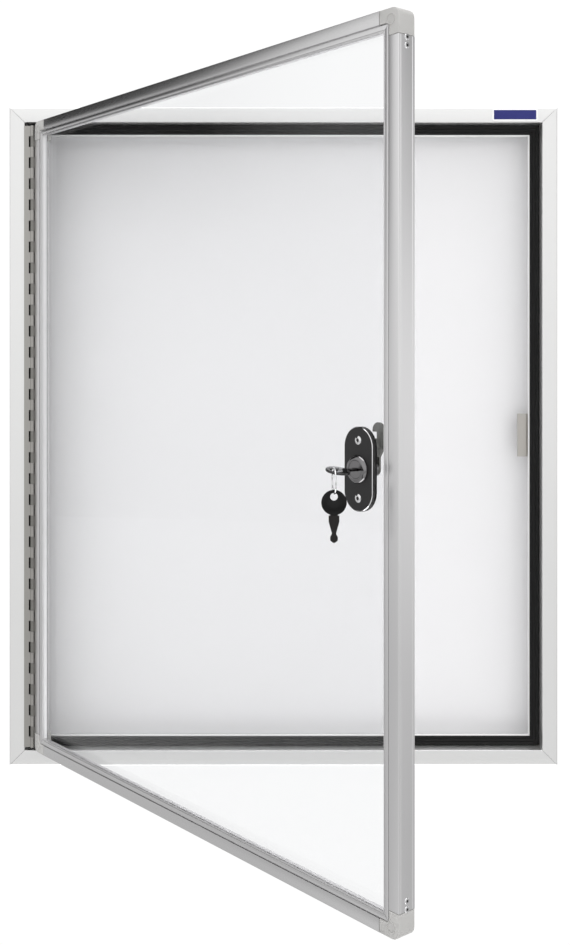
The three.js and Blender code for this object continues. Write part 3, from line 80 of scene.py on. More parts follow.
# Case
CASE_WIDTH = 0.548
CASE_HEIGHT = 0.658
CASE_DEPTH = 0.047
FRAME_FACE = 0.015
FRAME_BODY = 0.020
LEDGE_WIDTH = 0.0114
LEDGE_DEPTH = 0.0162
LIP_THICKNESS = 0.0013
UPSTAND_WIDTH = 0.0014
UPSTAND_HEIGHT = 0.002
PANEL_DEPTH = 0.038
PANEL_REBATE = 0.014
FRAME_EDGE_RADIUS = 0.0012
FRAME_INNER_RADIUS = 0.0005
DIE_RADIUS = 0.00015
MITRE_GAP = 0.00016

# Seal
SEAL_TOP = 0.0138
SEAL_SEAT_GAP = 0.0001
SEAL_WALL_GROOVE = 0.0011
SEAL_GROOVE_WIDTH = 0.0005
SEAL_GROOVE_DEPTH = 0.0007
SEAL_RIB_COUNT = 3
SEAL_RIB_RADIUS = 0.0006

# Door, drawn about the hinge axis
DOOR_FROM_AXIS = 0.002
DOOR_FACE = 0.0013
DOOR_WIDTH = 0.5068
DOOR_HEIGHT = 0.6266
DOOR_THICKNESS = 0.0154
DOOR_MIDDLE_X = DOOR_FROM_AXIS + DOOR_WIDTH / 2
BAR_WIDTH = 0.0152
BAR_FLAT = 0.0096
BAR_GROOVE_WIDTH = 0.0008
BAR_GROOVE_DEPTH = 0.002
BAR_LIP_DROP = 0.0004
BAR_LIP_SLOPE = 0.0003
BAR_NOTCH_START = 0.0005
BAR_NOTCH_WIDTH = 0.001
BAR_NOTCH_DEPTH = 0.0006
BAR_REAR_LIP = 0.0094
BAR_REAR_LIP_EDGE = 0.0006
BAR_REAR_FLAT = 0.0058
BAR_EDGE_RADIUS = 0.0004
BAR_END = 0.0188
LIP_LINE_FROM_EDGE = 0.0016
LIP_LINE_WIDTH = 0.0009
LIP_LINE_DEPTH = 0.0008
SIDE_GROOVES = (0.013, 0.0017)
SIDE_GROOVE_HALF = 0.0004
SIDE_GROOVE_DEPTH = 0.0003
CHANNEL_FRONT = 0.0057
CHANNEL_REAR = 0.0111
CHANNEL_BOTTOM = 0.0069
PANE_FRONT = 0.0064
PANE_REAR = 0.0104
GASKET_GAP = 0.00005
GASKET_FLOOR = 0.0004
GASKET_SET_IN = 0.0004
GASKET_RADIUS = 0.00025
BLOCK_LEG = 0.0184
BLOCK_OUTER_RADIUS = 0.0065
BLOCK_FILLET = 0.003
BOSS_FROM_EDGE = 0.0076
BOSS_RADIUS = 0.004
BOSS_RIM = 0.0008
BOSS_HEIGHT = 0.0005
BOSS_EDGE_RADIUS = 0.0003
BOSS_ROOT = 0.001

# Lock, drawn about its own axis with y inward
BEZEL_FRONT = 0.0003
BEZEL_BASE = 0.0031
BEZEL_BASE_RADIUS = 0.010
BEZEL_ROUND = 0.0026
HOUSING_EDGE_RADIUS = 0.0005
HOUSING_RADIUS = 0.006
HOUSING_END = 0.0195
HOUSING_BORE = 0.0048
HOUSING_TAIL_BORE = 0.0038
HOUSING_REAR_WALL = 0.0016
FLANGE_BORE = 0.0065
FLANGE_FLOOR = 0.0025
PLATE_FRONT = 0.0032
PLATE_REAR = 0.0062
PLATE_WIDTH = 0.0286
PLATE_HEIGHT = 0.0592
PLATE_CHAMFER = 0.0006
PLATE_RIM = 0.0002
PLATE_SCREW_OFFSET = 0.0202
SCREW_HEAD_RADIUS = 0.0033
SCREW_DOME = 0.0006
SCREW_RECESS_RADIUS = 0.0013
SCREW_RECESS_DEPTH = 0.001
SCREW_HEAD_END = 0.004
SCREW_SHANK_RADIUS = 0.0015
SCREW_END = 0.0138
AXIS_RADIUS = 0.0001
EDGE_SCREW_FIRST = 0.0202
EDGE_SCREW_PITCH = 0.0056
EDGE_SCREW_LENGTH = 0.0046
EDGE_SCREW_SHANK_RADIUS = 0.0012
EDGE_SCREW_RADIUS = 0.0022
EDGE_SCREW_DOME = 0.0005
# Black disc on each edge screw's head: painted shade for its recess.
EDGE_SCREW_SHADE_RADIUS = 0.001
EDGE_SCREW_SHADE_FRONT = 0.00053

# Keys and ring
KEY_HEAD_RADIUS = 0.00865
KEY_HEAD_THICKNESS = 0.0018
KEY_HOLE_RADIUS = 0.0026
KEY_HOLE_OFFSET = 0.00395
KEY_HEAD_EDGE = 0.00045
KEY_ROLL = math.radians(12)
RING_RADIUS = 0.0089
RING_WIRE = 0.0011
RING_EDGE_RADIUS = 0.0005
RING_YAW = math.radians(6)

# Label
LABEL_RIM_RADIUS = 0.0006
LABEL_EDGE = 0.00015

# Mesh fineness. A rounded edge's middle ring stands one of its parts in from both faces.
CORNER_STEPS = 4
ROUND_COLUMNS = 96
MERGE_DISTANCE = 0.00001
FLAT_ANGLE = math.radians(0.5)
SHARP_ANGLE = math.radians(34)
SOFT_SEGMENTS = 2
EDGE_PARTS = 3

# Camera: where the photographer stood, and the frame's own shape
CAMERA_X = 0.0015
CAMERA_Z = 0.07545
CAMERA_DISTANCE = 1.18
CAMERA_LENS_MM = 44.952
CAMERA_SHIFT_Y = -0.11815

# Stage: its floor, the white that the eye sees, and the bright panels above and below
FLOOR_Z = -0.6
FLOOR_HALF = 4.0
FLOOR_COLOR = (0.9, 0.9, 0.9, 1)
FLOOR_ROUGHNESS = 0.9
WHITE_LEVEL = 1.02
PANEL_LEVEL_SHARE = 3.2

# The power that takes a root, and the shortest level direction that is told from straight up
SQUARE_ROOT = 0.5
SHORTEST_DIRECTION = 0.001

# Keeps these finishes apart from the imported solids' plain ones of the same slots
FINISH_PREFIX = "finished_"

# Patterns: their scales per metre, the detail of their noise, and shares of 1
MIDDLE_SHARE = 0.5
PATCH_SHARE = 0.08
CLOUD_SCALE = 12.0
CLOUD_DETAIL = 3.0
GRAIN_DETAIL = 2.0
PATCH_DETAIL = 4.0

# Scale of the drawn lines' pattern along the bar, against 1 across it
ALONG_SHARE = 0.01

# Pane, which bends and mirrors light less than plain glass, as coated glazing does
PANE_IOR = 1.3
PANE_DRIFT = 0.004
PANE_CLOUD_SCALE = 5.0
PANE_FINENESS = 60.0
PANE_ROUGHNESS = 0.012
PANE_SPREAD = 0.02

SIDES = {
    "bottom": ((0, 0, 1), (1, -1)),
    "top": ((0, 0, -1), (-1, 1)),
    "left": ((1, 0, 0), (-1, -1)),
    "right": ((-1, 0, 0), (1, 1)),
}
DOOR_BARS = {
    "top": "rail_top",
    "bottom": "rail_bottom",
    "left": "stile_hinge",
    "right": "stile_lock",
}
CORNERS = ("top_left", "top_right", "bottom_left", "bottom_right")
RIVETS = [f"{leaf}_rivet_{height}" for height in ("lower", "middle", "upper")
          for leaf in ("case", "door")]

JOINTS = {joint["name"]: joint for joint in frame["joints"]}
HINGE_AXIS = np.array(JOINTS["door_swing"]["pos_m"])
DOOR_TURN = math.radians(JOINTS["door_swing"]["range_deg"][0])
LOCK_AXIS = np.array(JOINTS["lock_turn"]["pos_m"])
RING_CENTRE = np.array(JOINTS["ring_turn"]["pos_m"])


# Points and meshes

ROUND_TURN = np.linspace(0, 2 * math.pi, ROUND_COLUMNS, endpoint=False)


def turned_about_z(points, angle):
    """Turns points about z: x' = x cos a - y sin a, y' = x sin a + y cos a."""
    cosine = math.cos(angle)
    sine = math.sin(angle)
    rotation = np.array(((cosine, -sine, 0), (sine, cosine, 0), (0, 0, 1)))
    return points @ rotation.T


def turned_with_door(points, origin):
    """Turns local points by the door's open angle about z and moves them to their origin."""
    return turned_about_z(points, DOOR_TURN) + origin


def way_of(side):
    return "level" if side in ("top", "bottom") else "upright"


def rounded_outline(corners):
    """Rounds a closed outline: at each corner an arc of its radius, tangent to both edges.

    The arc's centre lies on the corner's bisector at radius / sin(half angle), and the arc's
    points turn evenly from the first tangent point to the second.
    """
    table = np.array(corners, float)
    points = table[:, :2]
    radius = np.maximum(table[:, 2], DIE_RADIUS)[:, None]
    before = np.roll(points, 1, axis=0) - points
    after = np.roll(points, -1, axis=0) - points
    before /= np.linalg.norm(before, axis=1, keepdims=True)
    after /= np.linalg.norm(after, axis=1, keepdims=True)
    half = np.arccos(np.clip((before * after).sum(1), -1, 1))[:, None] / 2
    bisector = before + after
    bisector /= np.linalg.norm(bisector, axis=1, keepdims=True)
    centre = points + bisector * radius / np.sin(half)
    start = points + before * radius / np.tan(half) - centre
    cross = before[:, 0:1] * after[:, 1:2] - before[:, 1:2] * after[:, 0:1]
    sweep = np.sign(cross) * (math.pi - 2 * half)
    turn = -sweep * np.linspace(0, 1, CORNER_STEPS + 1)[None, :]
    x = centre[:, 0:1] + start[:, 0:1] * np.cos(turn) - start[:, 1:2] * np.sin(turn)
    y = centre[:, 1:2] + start[:, 0:1] * np.sin(turn) + start[:, 1:2] * np.cos(turn)
    return np.stack((x.ravel(), y.ravel()), axis=1)


def box_outline(low_x, low_y, high_x, high_y, radius):
    """A rectangle with four corners of one radius."""
    return rounded_outline([
        (low_x, low_y, radius),
        (high_x, low_y, radius),
        (high_x, high_y, radius),
        (low_x, high_y, radius),
    ])


def grid_mesh(name, grid, wrap_rows):
    """A closed mesh of quads over a (rows, columns, 3) grid whose columns close on themselves.

    Where the rows don't wrap too, both ends are capped.
    """
    rows, columns = grid.shape[:2]
    corner = np.arange(rows * columns).reshape(rows, columns)
    beside = np.roll(corner, -1, axis=1)
    quads = np.stack((corner, beside, np.roll(beside, -1, axis=0), np.roll(corner, -1, axis=0)),
                     axis=-1)
    faces = quads[:rows if wrap_rows else rows - 1].reshape(-1, 4).tolist()
    if not wrap_rows:
        faces.append(list(range(columns)))
        faces.append(list(range((rows - 1) * columns, rows * columns)))
    mesh = bpy.data.meshes.new(name)
    mesh.from_pydata(grid.reshape(-1, 3).tolist(), [], faces)
    work = bmesh.new()
    work.from_mesh(mesh)
    bmesh.ops.recalc_face_normals(work, faces=work.faces)
    work.to_mesh(mesh)
    work.free()
    return mesh


def give_finish(mesh, slot):
    mesh.materials.clear()
    mesh.materials.append(bpy.data.materials[FINISH_PREFIX + slot])


def add_object(name, data):
    item = bpy.data.objects.new(name, data)
    bpy.context.scene.collection.objects.link(item)
    return item


def place(mesh, body, slot, nodes):
    """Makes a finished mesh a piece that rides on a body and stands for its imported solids."""
    mesh.shade_smooth()
    mesh.set_sharp_from_angle(angle=SHARP_ANGLE)
    piece = add_object(mesh.name, mesh)
    give_finish(mesh, slot)
    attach(piece, body)
    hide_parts(*nodes)
    return piece


def place_grid(grid, name, body, slot, nodes, wrap_rows=False):
    place(grid_mesh(name, grid, wrap_rows), body, slot, nodes)


def softened(node, name, slot, radius):
    """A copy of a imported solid: triangles merged, flat faces rejoined and hard edges rounded."""
    source = frame["nodes"][node]
    mesh = source.data.copy()
    mesh.name = name
    work = bmesh.new()
    work.from_mesh(mesh)
    bmesh.ops.remove_doubles(work, verts=work.verts, dist=MERGE_DISTANCE)
    bmesh.ops.dissolve_limit(work, angle_limit=FLAT_ANGLE, verts=work.verts, edges=work.edges)
    work.to_mesh(mesh)
    work.free()
    piece = place(mesh, source["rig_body"], slot, [node])
    if radius > 0:
        bevel = piece.modifiers.new("Rounded edges", "BEVEL")
        bevel.width = radius
        bevel.segments = SOFT_SEGMENTS
        bevel.limit_method = "ANGLE"
        bevel.angle_limit = SHARP_ANGLE
        bevel.harden_normals = True


def dress(node, slot):
    """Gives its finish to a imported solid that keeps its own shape."""
    give_finish(frame["nodes"][node].data, slot)


def bar_grid(outline, side, end, width, height, middle_x, front_y):
    """One bar of a rectangle, as two rings of its (inward, depth) outline.

    They stand at end(inward) and at length - end(inward), and each point is the side's origin +
    its inward, depth and along times their axes.
    """
    length = width if way_of(side) == "level" else height
    inset = end(outline[:, 0])
    rings = np.stack([np.column_stack((outline, along)) for along in (inset, length - inset)])
    inward, corner = (np.array(values, float) for values in SIDES[side])
    depth = np.array((0.0, 1.0, 0.0))
    origin = np.array((middle_x + corner[0] * width / 2, front_y, corner[1] * height / 2))
    return origin + rings @ np.stack((inward, depth, np.cross(inward, depth)))


def mitred(inward):
    """Ends cut at 45 degrees, short of the corner by the mitre's gap."""
    return inward + MITRE_GAP


def joined(inward):
    """Ends cut at 45 degrees that meet in the corner."""
    return inward


def square_cut(inward):
    """Ends cut square where the corner blocks take over."""
    return np.full_like(inward, BAR_END)


def place_on_case(outline, side, end, name, slot, nodes):
    """Carries an outline along one side of the case."""
    grid = bar_grid(outline, side, end, CASE_WIDTH, CASE_HEIGHT, 0, -CASE_DEPTH)
    place_grid(grid, name, "case", slot, nodes)


def lathe_grid(profile):
    """Turns (radius, y) points about y: x = radius cos t, z = radius sin t."""
    x = profile[:, 0:1] * np.cos(ROUND_TURN)
    z = profile[:, 0:1] * np.sin(ROUND_TURN)
    return np.stack((x, np.broadcast_to(profile[:, 1:2], x.shape), z), axis=-1)


# Finishes


class GroupBuilder:
    """Adds nodes to one node tree and fills their inputs, so a finish reads as a short list."""

    def __init__(self, tree):
        self.tree = tree

    def add(self, kind, inputs=None, **settings):
        node = self.tree.nodes.new(kind)
        for key, value in settings.items():
            setattr(node, key, value)
        self.fill(node, inputs or {})
        return node

    def fill(self, node, inputs):
        """Sets each input to a plain value, or links it to another node's output."""
        for key, value in inputs.items():
            if isinstance(value, bpy.types.NodeSocket):
                self.tree.links.new(value, node.inputs[key])
            else:
                node.inputs[key].default_value = value

    def group(self, tree, inputs):
        return self.add("ShaderNodeGroup", inputs, node_tree=tree).outputs

    def math(self, operation, first, second):
        return self.add("ShaderNodeMath", {0: first, 1: second}, operation=operation).outputs[0]

    def mix(self, blend, factor, first, second):
        node = self.add("ShaderNodeMix", {"Factor": factor, "A": first, "B": second},
                        data_type="RGBA", blend_type=blend)
        return node.outputs["Result"]

    def drifted(self, middle, pattern, amount):
        """The middle value + amount x (pattern - its middle)."""
        scaled = self.math("MULTIPLY", self.math("SUBTRACT", pattern, MIDDLE_SHARE), amount)
        return self.math("ADD", scaled, middle)

    def seen_straight(self):
        """1 where the eye looks straight out, or only through the pane, and 0 in any mirror."""
        rays = self.add("ShaderNodeLightPath").outputs
        unmirrored = self.math("LESS_THAN", rays["Glossy Depth"], MIDDLE_SHARE)
        through = self.math("MULTIPLY", rays["Is Transmission Ray"], unmirrored)
        return self.math("MAXIMUM", rays["Is Camera Ray"], through)

    def noise(self, vector, scale, detail):
        node = self.add("ShaderNodeTexNoise", {"Vector": vector, "Scale": scale, "Detail": detail})
        return node.outputs["Fac"]

    def surface(self, factor, first, second):
        """Feeds the material's surface with a mix of two shaders."""
        shaders = {0: factor, 1: first.outputs[0], 2: second.outputs[0]}
        mixed = self.add("ShaderNodeMixShader", shaders)
        self.fill(self.tree.nodes["Material Output"], {"Surface": mixed.outputs[0]})


def new_group(name, inputs, outputs):
    """A shader node group. Its sockets are given by name, with the last word of their type."""
    group = bpy.data.node_groups.new(name, "ShaderNodeTree")
    for way, sockets in (("INPUT", inputs), ("OUTPUT", outputs)):
        for label, kind in sockets.items():
            group.interface.new_socket(name=label, in_out=way, socket_type=f"NodeSocket{kind}")
    build = GroupBuilder(group)
    return group, build, build.add("NodeGroupInput").outputs, build.add("NodeGroupOutput")


def tone_group():
    """Soft cloudy drift of a colour: the colour times 1 + amount x (noise - middle)."""
    group, build, enter, leave = new_group(
        "Tone drift",
        {"Vector": "Vector", "Color": "Color", "Amount": "Float", "Scale": "Float"},
        {"Color": "Color"},
    )
    noise = build.noise(enter["Vector"], enter["Scale"], CLOUD_DETAIL)
    factor = build.drifted(1.0, noise, enter["Amount"])
    tint = build.add("ShaderNodeVectorMath", {0: enter["Color"], "Scale": factor},
                     operation="SCALE")
    build.fill(leave, {"Color": tint.outputs[0]})
    return group


def surface_group(name, pattern):
    """Height from a pattern, and roughness + spread x (what drives it - middle)."""
    group, build, enter, leave = new_group(
        name,
        {"Vector": "Vector", "Fineness": "Float", "Roughness": "Float", "Spread": "Float"},
        {"Height": "Float", "Roughness": "Float"},
    )
    height, drive = pattern(build, enter["Vector"], enter["Fineness"])
    rough = build.drifted(enter["Roughness"], drive, enter["Spread"])
    build.fill(leave, {"Height": height, "Roughness": rough})
    return group


def drawn_lines(build, vector, fineness):
    """Fine lines along a drawn bar: noise that the material stretches along the bar."""
    lines = build.noise(vector, fineness, CLOUD_DETAIL)
    return lines, lines


def moulded_grain(build, vector, fineness):
    """Even moulded or enamelled grain, with coarser patches that drive the roughness too."""
    grain = build.noise(vector, fineness, GRAIN_DETAIL)
    coarse = build.math("MULTIPLY", fineness, PATCH_SHARE)
    patches = build.noise(vector, coarse, PATCH_DETAIL)
    return grain, build.math("MULTIPLY", build.math("ADD", grain, patches), MIDDLE_SHARE)


# Each finish: property with its colour, roughness, metallic, specular level, tone drift, fineness
# of its lines or grain, roughness spread and bump height in metres.
FINISHES = {
    "case_aluminium.level": ("case_metal", 0.42, 1, 0.5, 0.03, 1500, 0.1, 4e-6),
    "case_aluminium.upright": ("case_metal", 0.42, 1, 0.5, 0.03, 1500, 0.1, 4e-6),
    "door_aluminium.level": ("door_metal", 0.18, 1, 0.5, 0.03, 1500, 0.1, 4e-6),
    "door_aluminium.upright": ("door_metal", 0.3, 1, 0.5, 0.03, 1500, 0.1, 4e-6),
    "corner_zinc": ("zinc", 0.5, 1, 0.5, 0.12, 400, 0.25, 1e-5),
    "white_steel": ("panel", 0.32, 0, 0.5, 0.008, 260, 0.08, 4e-6),
    "back_board": ("board", 0.85, 0, 0.4, 0.14, 900, 0.1, 6e-5),
    "black_rubber": ("rubber", 0.55, 0, 0.25, 0.15, 1600, 0.2, 1e-5),
    "black_rubber.strip": ("strip", 0.5, 0, 0.3, 0.1, 1600, 0.2, 1e-5),
    "blue_label": ("label_blue", 0.35, 0, 0.3, 0.05, 900, 0.1, 4e-6),
    "blue_label.rim": ("label_white", 0.35, 0, 0.5, 0.02, 900, 0.1, 4e-6),
    "zinc_plate": ("zinc", 0.36, 1, 0.5, 0.15, 500, 0.22, 8e-6),
    # Painted shade: the door's hinge leaf is the same zinc as the case leaf, given a darker colour
    # for the shade on its knuckles.
    "zinc_plate.door_shaded": ("leaf", 0.36, 1, 0.5, 0.2, 500, 0.22, 8e-6),
    "zinc_plate.strike": ("strike", 0.36, 1, 0.5, 0.15, 500, 0.22, 8e-6),
    "plain_steel": ("steel", 0.34, 1, 0.5, 0.25, 700, 0.2, 6e-6),
    "bright_screws": ("chrome", 0.1, 1, 0.5, 0.04, 900, 0.08, 3e-6),
    "grey_plastic": ("corner_plastic", 0.48, 0, 0.5, 0.05, 2200, 0.12, 1e-5),
    "lock_black": ("lock_plate", 0.42, 0, 0.4, 0.08, 1800, 0.12, 6e-6),
    "lock_black.polished": ("dark_chrome", 0.09, 1, 0.5, 0.08, 900, 0.08, 2e-6),
    "lock_chrome": ("dark_chrome", 0.16, 1, 0.5, 0.05, 900, 0.1, 4e-6),
    "lock_chrome.blade": ("blade", 0.22, 1, 0.5, 0.3, 500, 0.2, 8e-6),
    "key_plastic.glossy": ("key_plastic", 0.06, 0, 0.9, 0.1, 1500, 0.04, 1e-6),
    "key_plastic": ("key_plastic", 0.1, 0, 0.22, 0.1, 1500, 0.08, 2e-6),
}

# Drawn metal: the turn about z and the scales of its lines' pattern. Every finish that isn't
# named here has a moulded grain.
DRAWN = {
    "case_aluminium.level": (0, (ALONG_SHARE, 1, 1)),
    "case_aluminium.upright": (0, (1, 1, ALONG_SHARE)),
    "door_aluminium.level": (-DOOR_TURN, (ALONG_SHARE, 1, 1)),
    "door_aluminium.upright": (0, (1, 1, ALONG_SHARE)),
}


def new_material(name):
    """A node material's own builder and its shader."""
    material = bpy.data.materials.new(name)
    material.use_nodes = True
    return GroupBuilder(material.node_tree), material.node_tree.nodes["Principled BSDF"]


def finish_material(slot, groups, looks):
    """One node-built finish: colour drift, and lines or grain that feed roughness and bump."""
    tone, roughness, metallic, specular, drift, fineness, spread, height = FINISHES[slot]
    build, shader = new_material(FINISH_PREFIX + slot)
    vector = build.add("ShaderNodeTexCoord").outputs["Object"]
    cloud = build.group(groups["tone"], {
        "Vector": vector,
        "Color": (*getattr(looks, tone), 1.0),
        "Amount": drift,
        "Scale": CLOUD_SCALE,
    })
    if slot in DRAWN:
        turn, scales = DRAWN[slot]
        mapping = build.add("ShaderNodeMapping", {
            "Vector": vector,
            "Rotation": (0, 0, turn),
            "Scale": scales,
        })
        vector = mapping.outputs["Vector"]
    surface = build.group(groups["drawn" if slot in DRAWN else "grain"], {
        "Vector": vector,
        "Fineness": fineness,
        "Roughness": roughness,
        "Spread": spread,
    })
    bump = build.add("ShaderNodeBump", {"Distance": height, "Height": surface["Height"]})
    build.fill(shader, {
        "Base Color": cloud["Color"],
        "Roughness": surface["Roughness"],
        "Normal": bump.outputs["Normal"],
        "Metallic": metallic,
        "Specular IOR Level": specular,
    })


def glazing_material(groups, looks):
    """Clear pane: refracts for the eye, and lets the room's light through to what is behind it."""
    build, shader = new_material(FINISH_PREFIX + "glazing")
    vector = build.add("ShaderNodeTexCoord").outputs["Object"]
    cloud = build.group(groups["tone"], {
        "Vector": vector,
        "Color": (*looks.glazing, 1.0),
        "Amount": PANE_DRIFT,
        "Scale": PANE_CLOUD_SCALE,
    })
    film = build.group(groups["grain"], {
        "Vector": vector,
        "Fineness": PANE_FINENESS,
        "Roughness": PANE_ROUGHNESS,
        "Spread": PANE_SPREAD,
    })
    build.fill(shader, {
        "Base Color": cloud["Color"],
        "Roughness": film["Roughness"],
        "Transmission Weight": 1.0,
        "Metallic": 0.0,
        "IOR": PANE_IOR,
    })
    rays = build.add("ShaderNodeLightPath").outputs
    passing = build.math("MAXIMUM", rays["Is Shadow Ray"], rays["Is Diffuse Ray"])
    build.surface(passing, shader, build.add("ShaderNodeBsdfTransparent"))


# Settings that a user would change


def color_setting(label, text, default):
    return bpy.props.FloatVectorProperty(
        name=label, description=text, default=default, subtype="COLOR", size=3, min=0, max=1)


def length_setting(label, text, default):
    return bpy.props.FloatProperty(
        name=label, description=text, default=default, unit="LENGTH", min=0)


class BoardLooks(bpy.types.PropertyGroup):
    """Colours of the board's finishes, as scene-linear values."""

    case_metal: color_setting("Case metal", "Anodised case frame", (0.86, 0.86, 0.855))
    door_metal: color_setting("Door metal", "Anodised door bars", (0.80, 0.795, 0.80))
    panel: color_setting("Panel", "White enamelled sheet", (0.74, 0.737, 0.748))
    board: color_setting("Backing board", "Grey board behind the sheet", (0.36, 0.34, 0.31))
    rubber: color_setting("Rubber", "Ribbed seal", (0.007, 0.007, 0.007))
    strip: color_setting("Strip", "Glazing strips round the pane", (0.05, 0.05, 0.052))
    zinc: color_setting("Zinc", "Case leaf and inner plate", (0.40, 0.39, 0.37))
    leaf: color_setting("Door leaf", "Hinge leaf on the door", (0.24, 0.235, 0.22))
    # Painted shade: darker than the zinc of the case leaf, for the shade on the door leaf's
    # knuckles.
    strike: color_setting("Strike", "Strike inside the case", (0.50, 0.48, 0.45))
    steel: color_setting("Steel", "Cam, pin and rivets", (0.20, 0.20, 0.19))
    chrome: color_setting("Chrome", "Screws, ring and plate edge", (0.82, 0.82, 0.83))
    dark_chrome: color_setting("Dark chrome", "Bezel and plug", (0.24, 0.235, 0.24))
    blade: color_setting("Blade", "Dark key blades", (0.035, 0.033, 0.032))
    corner_plastic: color_setting("Corner plastic", "Door corner blocks", (0.43, 0.425, 0.415))
    lock_plate: color_setting("Lock plate", "Black satin lock plate", (0.014, 0.0135, 0.014))
    key_plastic: color_setting("Key plastic", "Moulded key heads", (0.003, 0.003, 0.003))
    label_blue: color_setting("Label", "Blank label plate", (0.020, 0.023, 0.15))
    label_white: color_setting("Label rim", "Rim round the label", (0.85, 0.85, 0.86))
    glazing: color_setting("Glazing", "Tint of the pane", (0.935, 0.94, 0.945))


class BoardSizes(bpy.types.PropertyGroup):
    """Small sizes of the fine shapes."""

    soft_edge: length_setting("Soft edge", "Rounding of cut metal edges", 0.00018)
    moulded_edge: length_setting("Moulded edge", "Rounding of moulded edges", 0.0005)
    label_rim: length_setting("Label rim", "Width of the label's rim", 0.0013)
    label_inset: length_setting("Label inset", "How far the blue face stands on the rim", 0.00008)


# Operators


class BoardOperator:
    """What the board's operators share."""

    bl_options = {"REGISTER", "UNDO"}

    def execute(self, context):
        self.build(context.scene.board_looks, context.scene.board_sizes)
        return {"FINISHED"}


class BOARD_OT_finishes(BoardOperator, bpy.types.Operator):
    """Builds the shared node groups and every finish"""

    bl_idname = "board.finishes"
    bl_label = "Finishes"

    def build(self, looks, sizes):
        groups = {
            "tone": tone_group(),
            "drawn": surface_group("Drawn lines", drawn_lines),
            "grain": surface_group("Moulded grain", moulded_grain),
        }
        for slot in FINISHES:
            finish_material(slot, groups, looks)
        glazing_material(groups, looks)


class BOARD_OT_case_bars(BoardOperator, bpy.types.Operator):
    """The four mitred bars of the case"""

    bl_idname = "board.case_bars"
    bl_label = "Case bars"

    def build(self, looks, sizes):
        lip_end = FRAME_FACE + LEDGE_WIDTH
        lip_start = lip_end - UPSTAND_WIDTH
        upstand_top = LEDGE_DEPTH - UPSTAND_HEIGHT
        lip_rear = LEDGE_DEPTH + LIP_THICKNESS
        outline = rounded_outline([
            (0, 0, FRAME_EDGE_RADIUS),
            (FRAME_FACE, 0, FRAME_INNER_RADIUS),
            (FRAME_FACE, LEDGE_DEPTH, 0),
            (lip_start, LEDGE_DEPTH, 0),
            (lip_start, upstand_top, 0),
            (lip_end, upstand_top, FRAME_INNER_RADIUS),
            (lip_end, lip_rear, 0),
            (FRAME_BODY, lip_rear, 0),
            (FRAME_BODY, PANEL_DEPTH, 0),
            (PANEL_REBATE, PANEL_DEPTH, 0),
            (PANEL_REBATE, CASE_DEPTH, 0),
            (0, CASE_DEPTH, FRAME_INNER_RADIUS),
        ])
        for side in SIDES:
            place_on_case(outline, side, mitred, f"case_bar_{side}",
                          f"case_aluminium.{way_of(side)}", [f"frame_{side}"])
        for corner in CORNERS:
            dress(f"frame_key_{corner}", "corner_zinc")


class BOARD_OT_seal(BoardOperator, bpy.types.Operator):
    """The ribbed rubber seal round the opening"""

    bl_idname = "board.seal"
    bl_label = "Seal"

    def build(self, looks, sizes):
        left = FRAME_FACE + SEAL_SEAT_GAP
        right = FRAME_FACE + LEDGE_WIDTH - UPSTAND_WIDTH - SEAL_SEAT_GAP
        base = LEDGE_DEPTH - SEAL_SEAT_GAP
        low = SEAL_TOP + SEAL_GROOVE_DEPTH
        first = left + SEAL_WALL_GROOVE
        pitch = (right - first + SEAL_GROOVE_WIDTH) / SEAL_RIB_COUNT
        corners = [(left, base, 0), (left, low, 0)]
        for rib in range(SEAL_RIB_COUNT):
            start = first + rib * pitch
            end = start + pitch - SEAL_GROOVE_WIDTH
            corners += [(start, low, 0), (start, SEAL_TOP, SEAL_RIB_RADIUS)]
            corners += [(end, SEAL_TOP, SEAL_RIB_RADIUS)]
            if rib < SEAL_RIB_COUNT - 1:
                corners.append((end, low, 0))
        corners.append((right, base, 0))
        outline = rounded_outline(corners)
        for side in SIDES:
            place_on_case(outline, side, joined, f"seal_strip_{side}", "black_rubber",
                          [f"seal_{side}"])


class BOARD_OT_back(BoardOperator, bpy.types.Operator):
    """The white sheet, the board behind it and the pane"""

    bl_idname = "board.back"
    bl_label = "Back and pane"

    def build(self, looks, sizes):
        dress("back_sheet", "white_steel")
        dress("backing_board", "back_board")
        dress("pane", "glazing")


class BOARD_OT_label(BoardOperator, bpy.types.Operator):
    """The blank label: a pale rim plate and a blue face on it"""

    bl_idname = "board.label"
    bl_label = "Label"

    def build(self, looks, sizes):
        low, high = (np.array(corner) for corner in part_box("label_plate"))
        front = low[1]
        rim = self.plate(low, high, 0, front, high[1])
        place_grid(rim, "label_rim", "case", "blue_label.rim", ["label_plate"])
        face = self.plate(low, high, sizes.label_rim, front - sizes.label_inset,
                          front + LABEL_EDGE)
        place_grid(face, "label_face", "case", "blue_label", [])

    def plate(self, low, high, inset, front, rear):
        """Rings of a rounded rectangle in x and z, drawn in by the edge's width at the front."""
        rings = []
        for depth, extra in ((rear, 0), (front + LABEL_EDGE / 2, 0), (front, LABEL_EDGE)):
            by = inset + extra
            outline = box_outline(low[0] + by, low[2] + by, high[0] - by, high[2] - by,
                                  LABEL_RIM_RADIUS)
            rings.append(np.insert(outline, 1, depth, axis=1))
        return np.stack(rings)


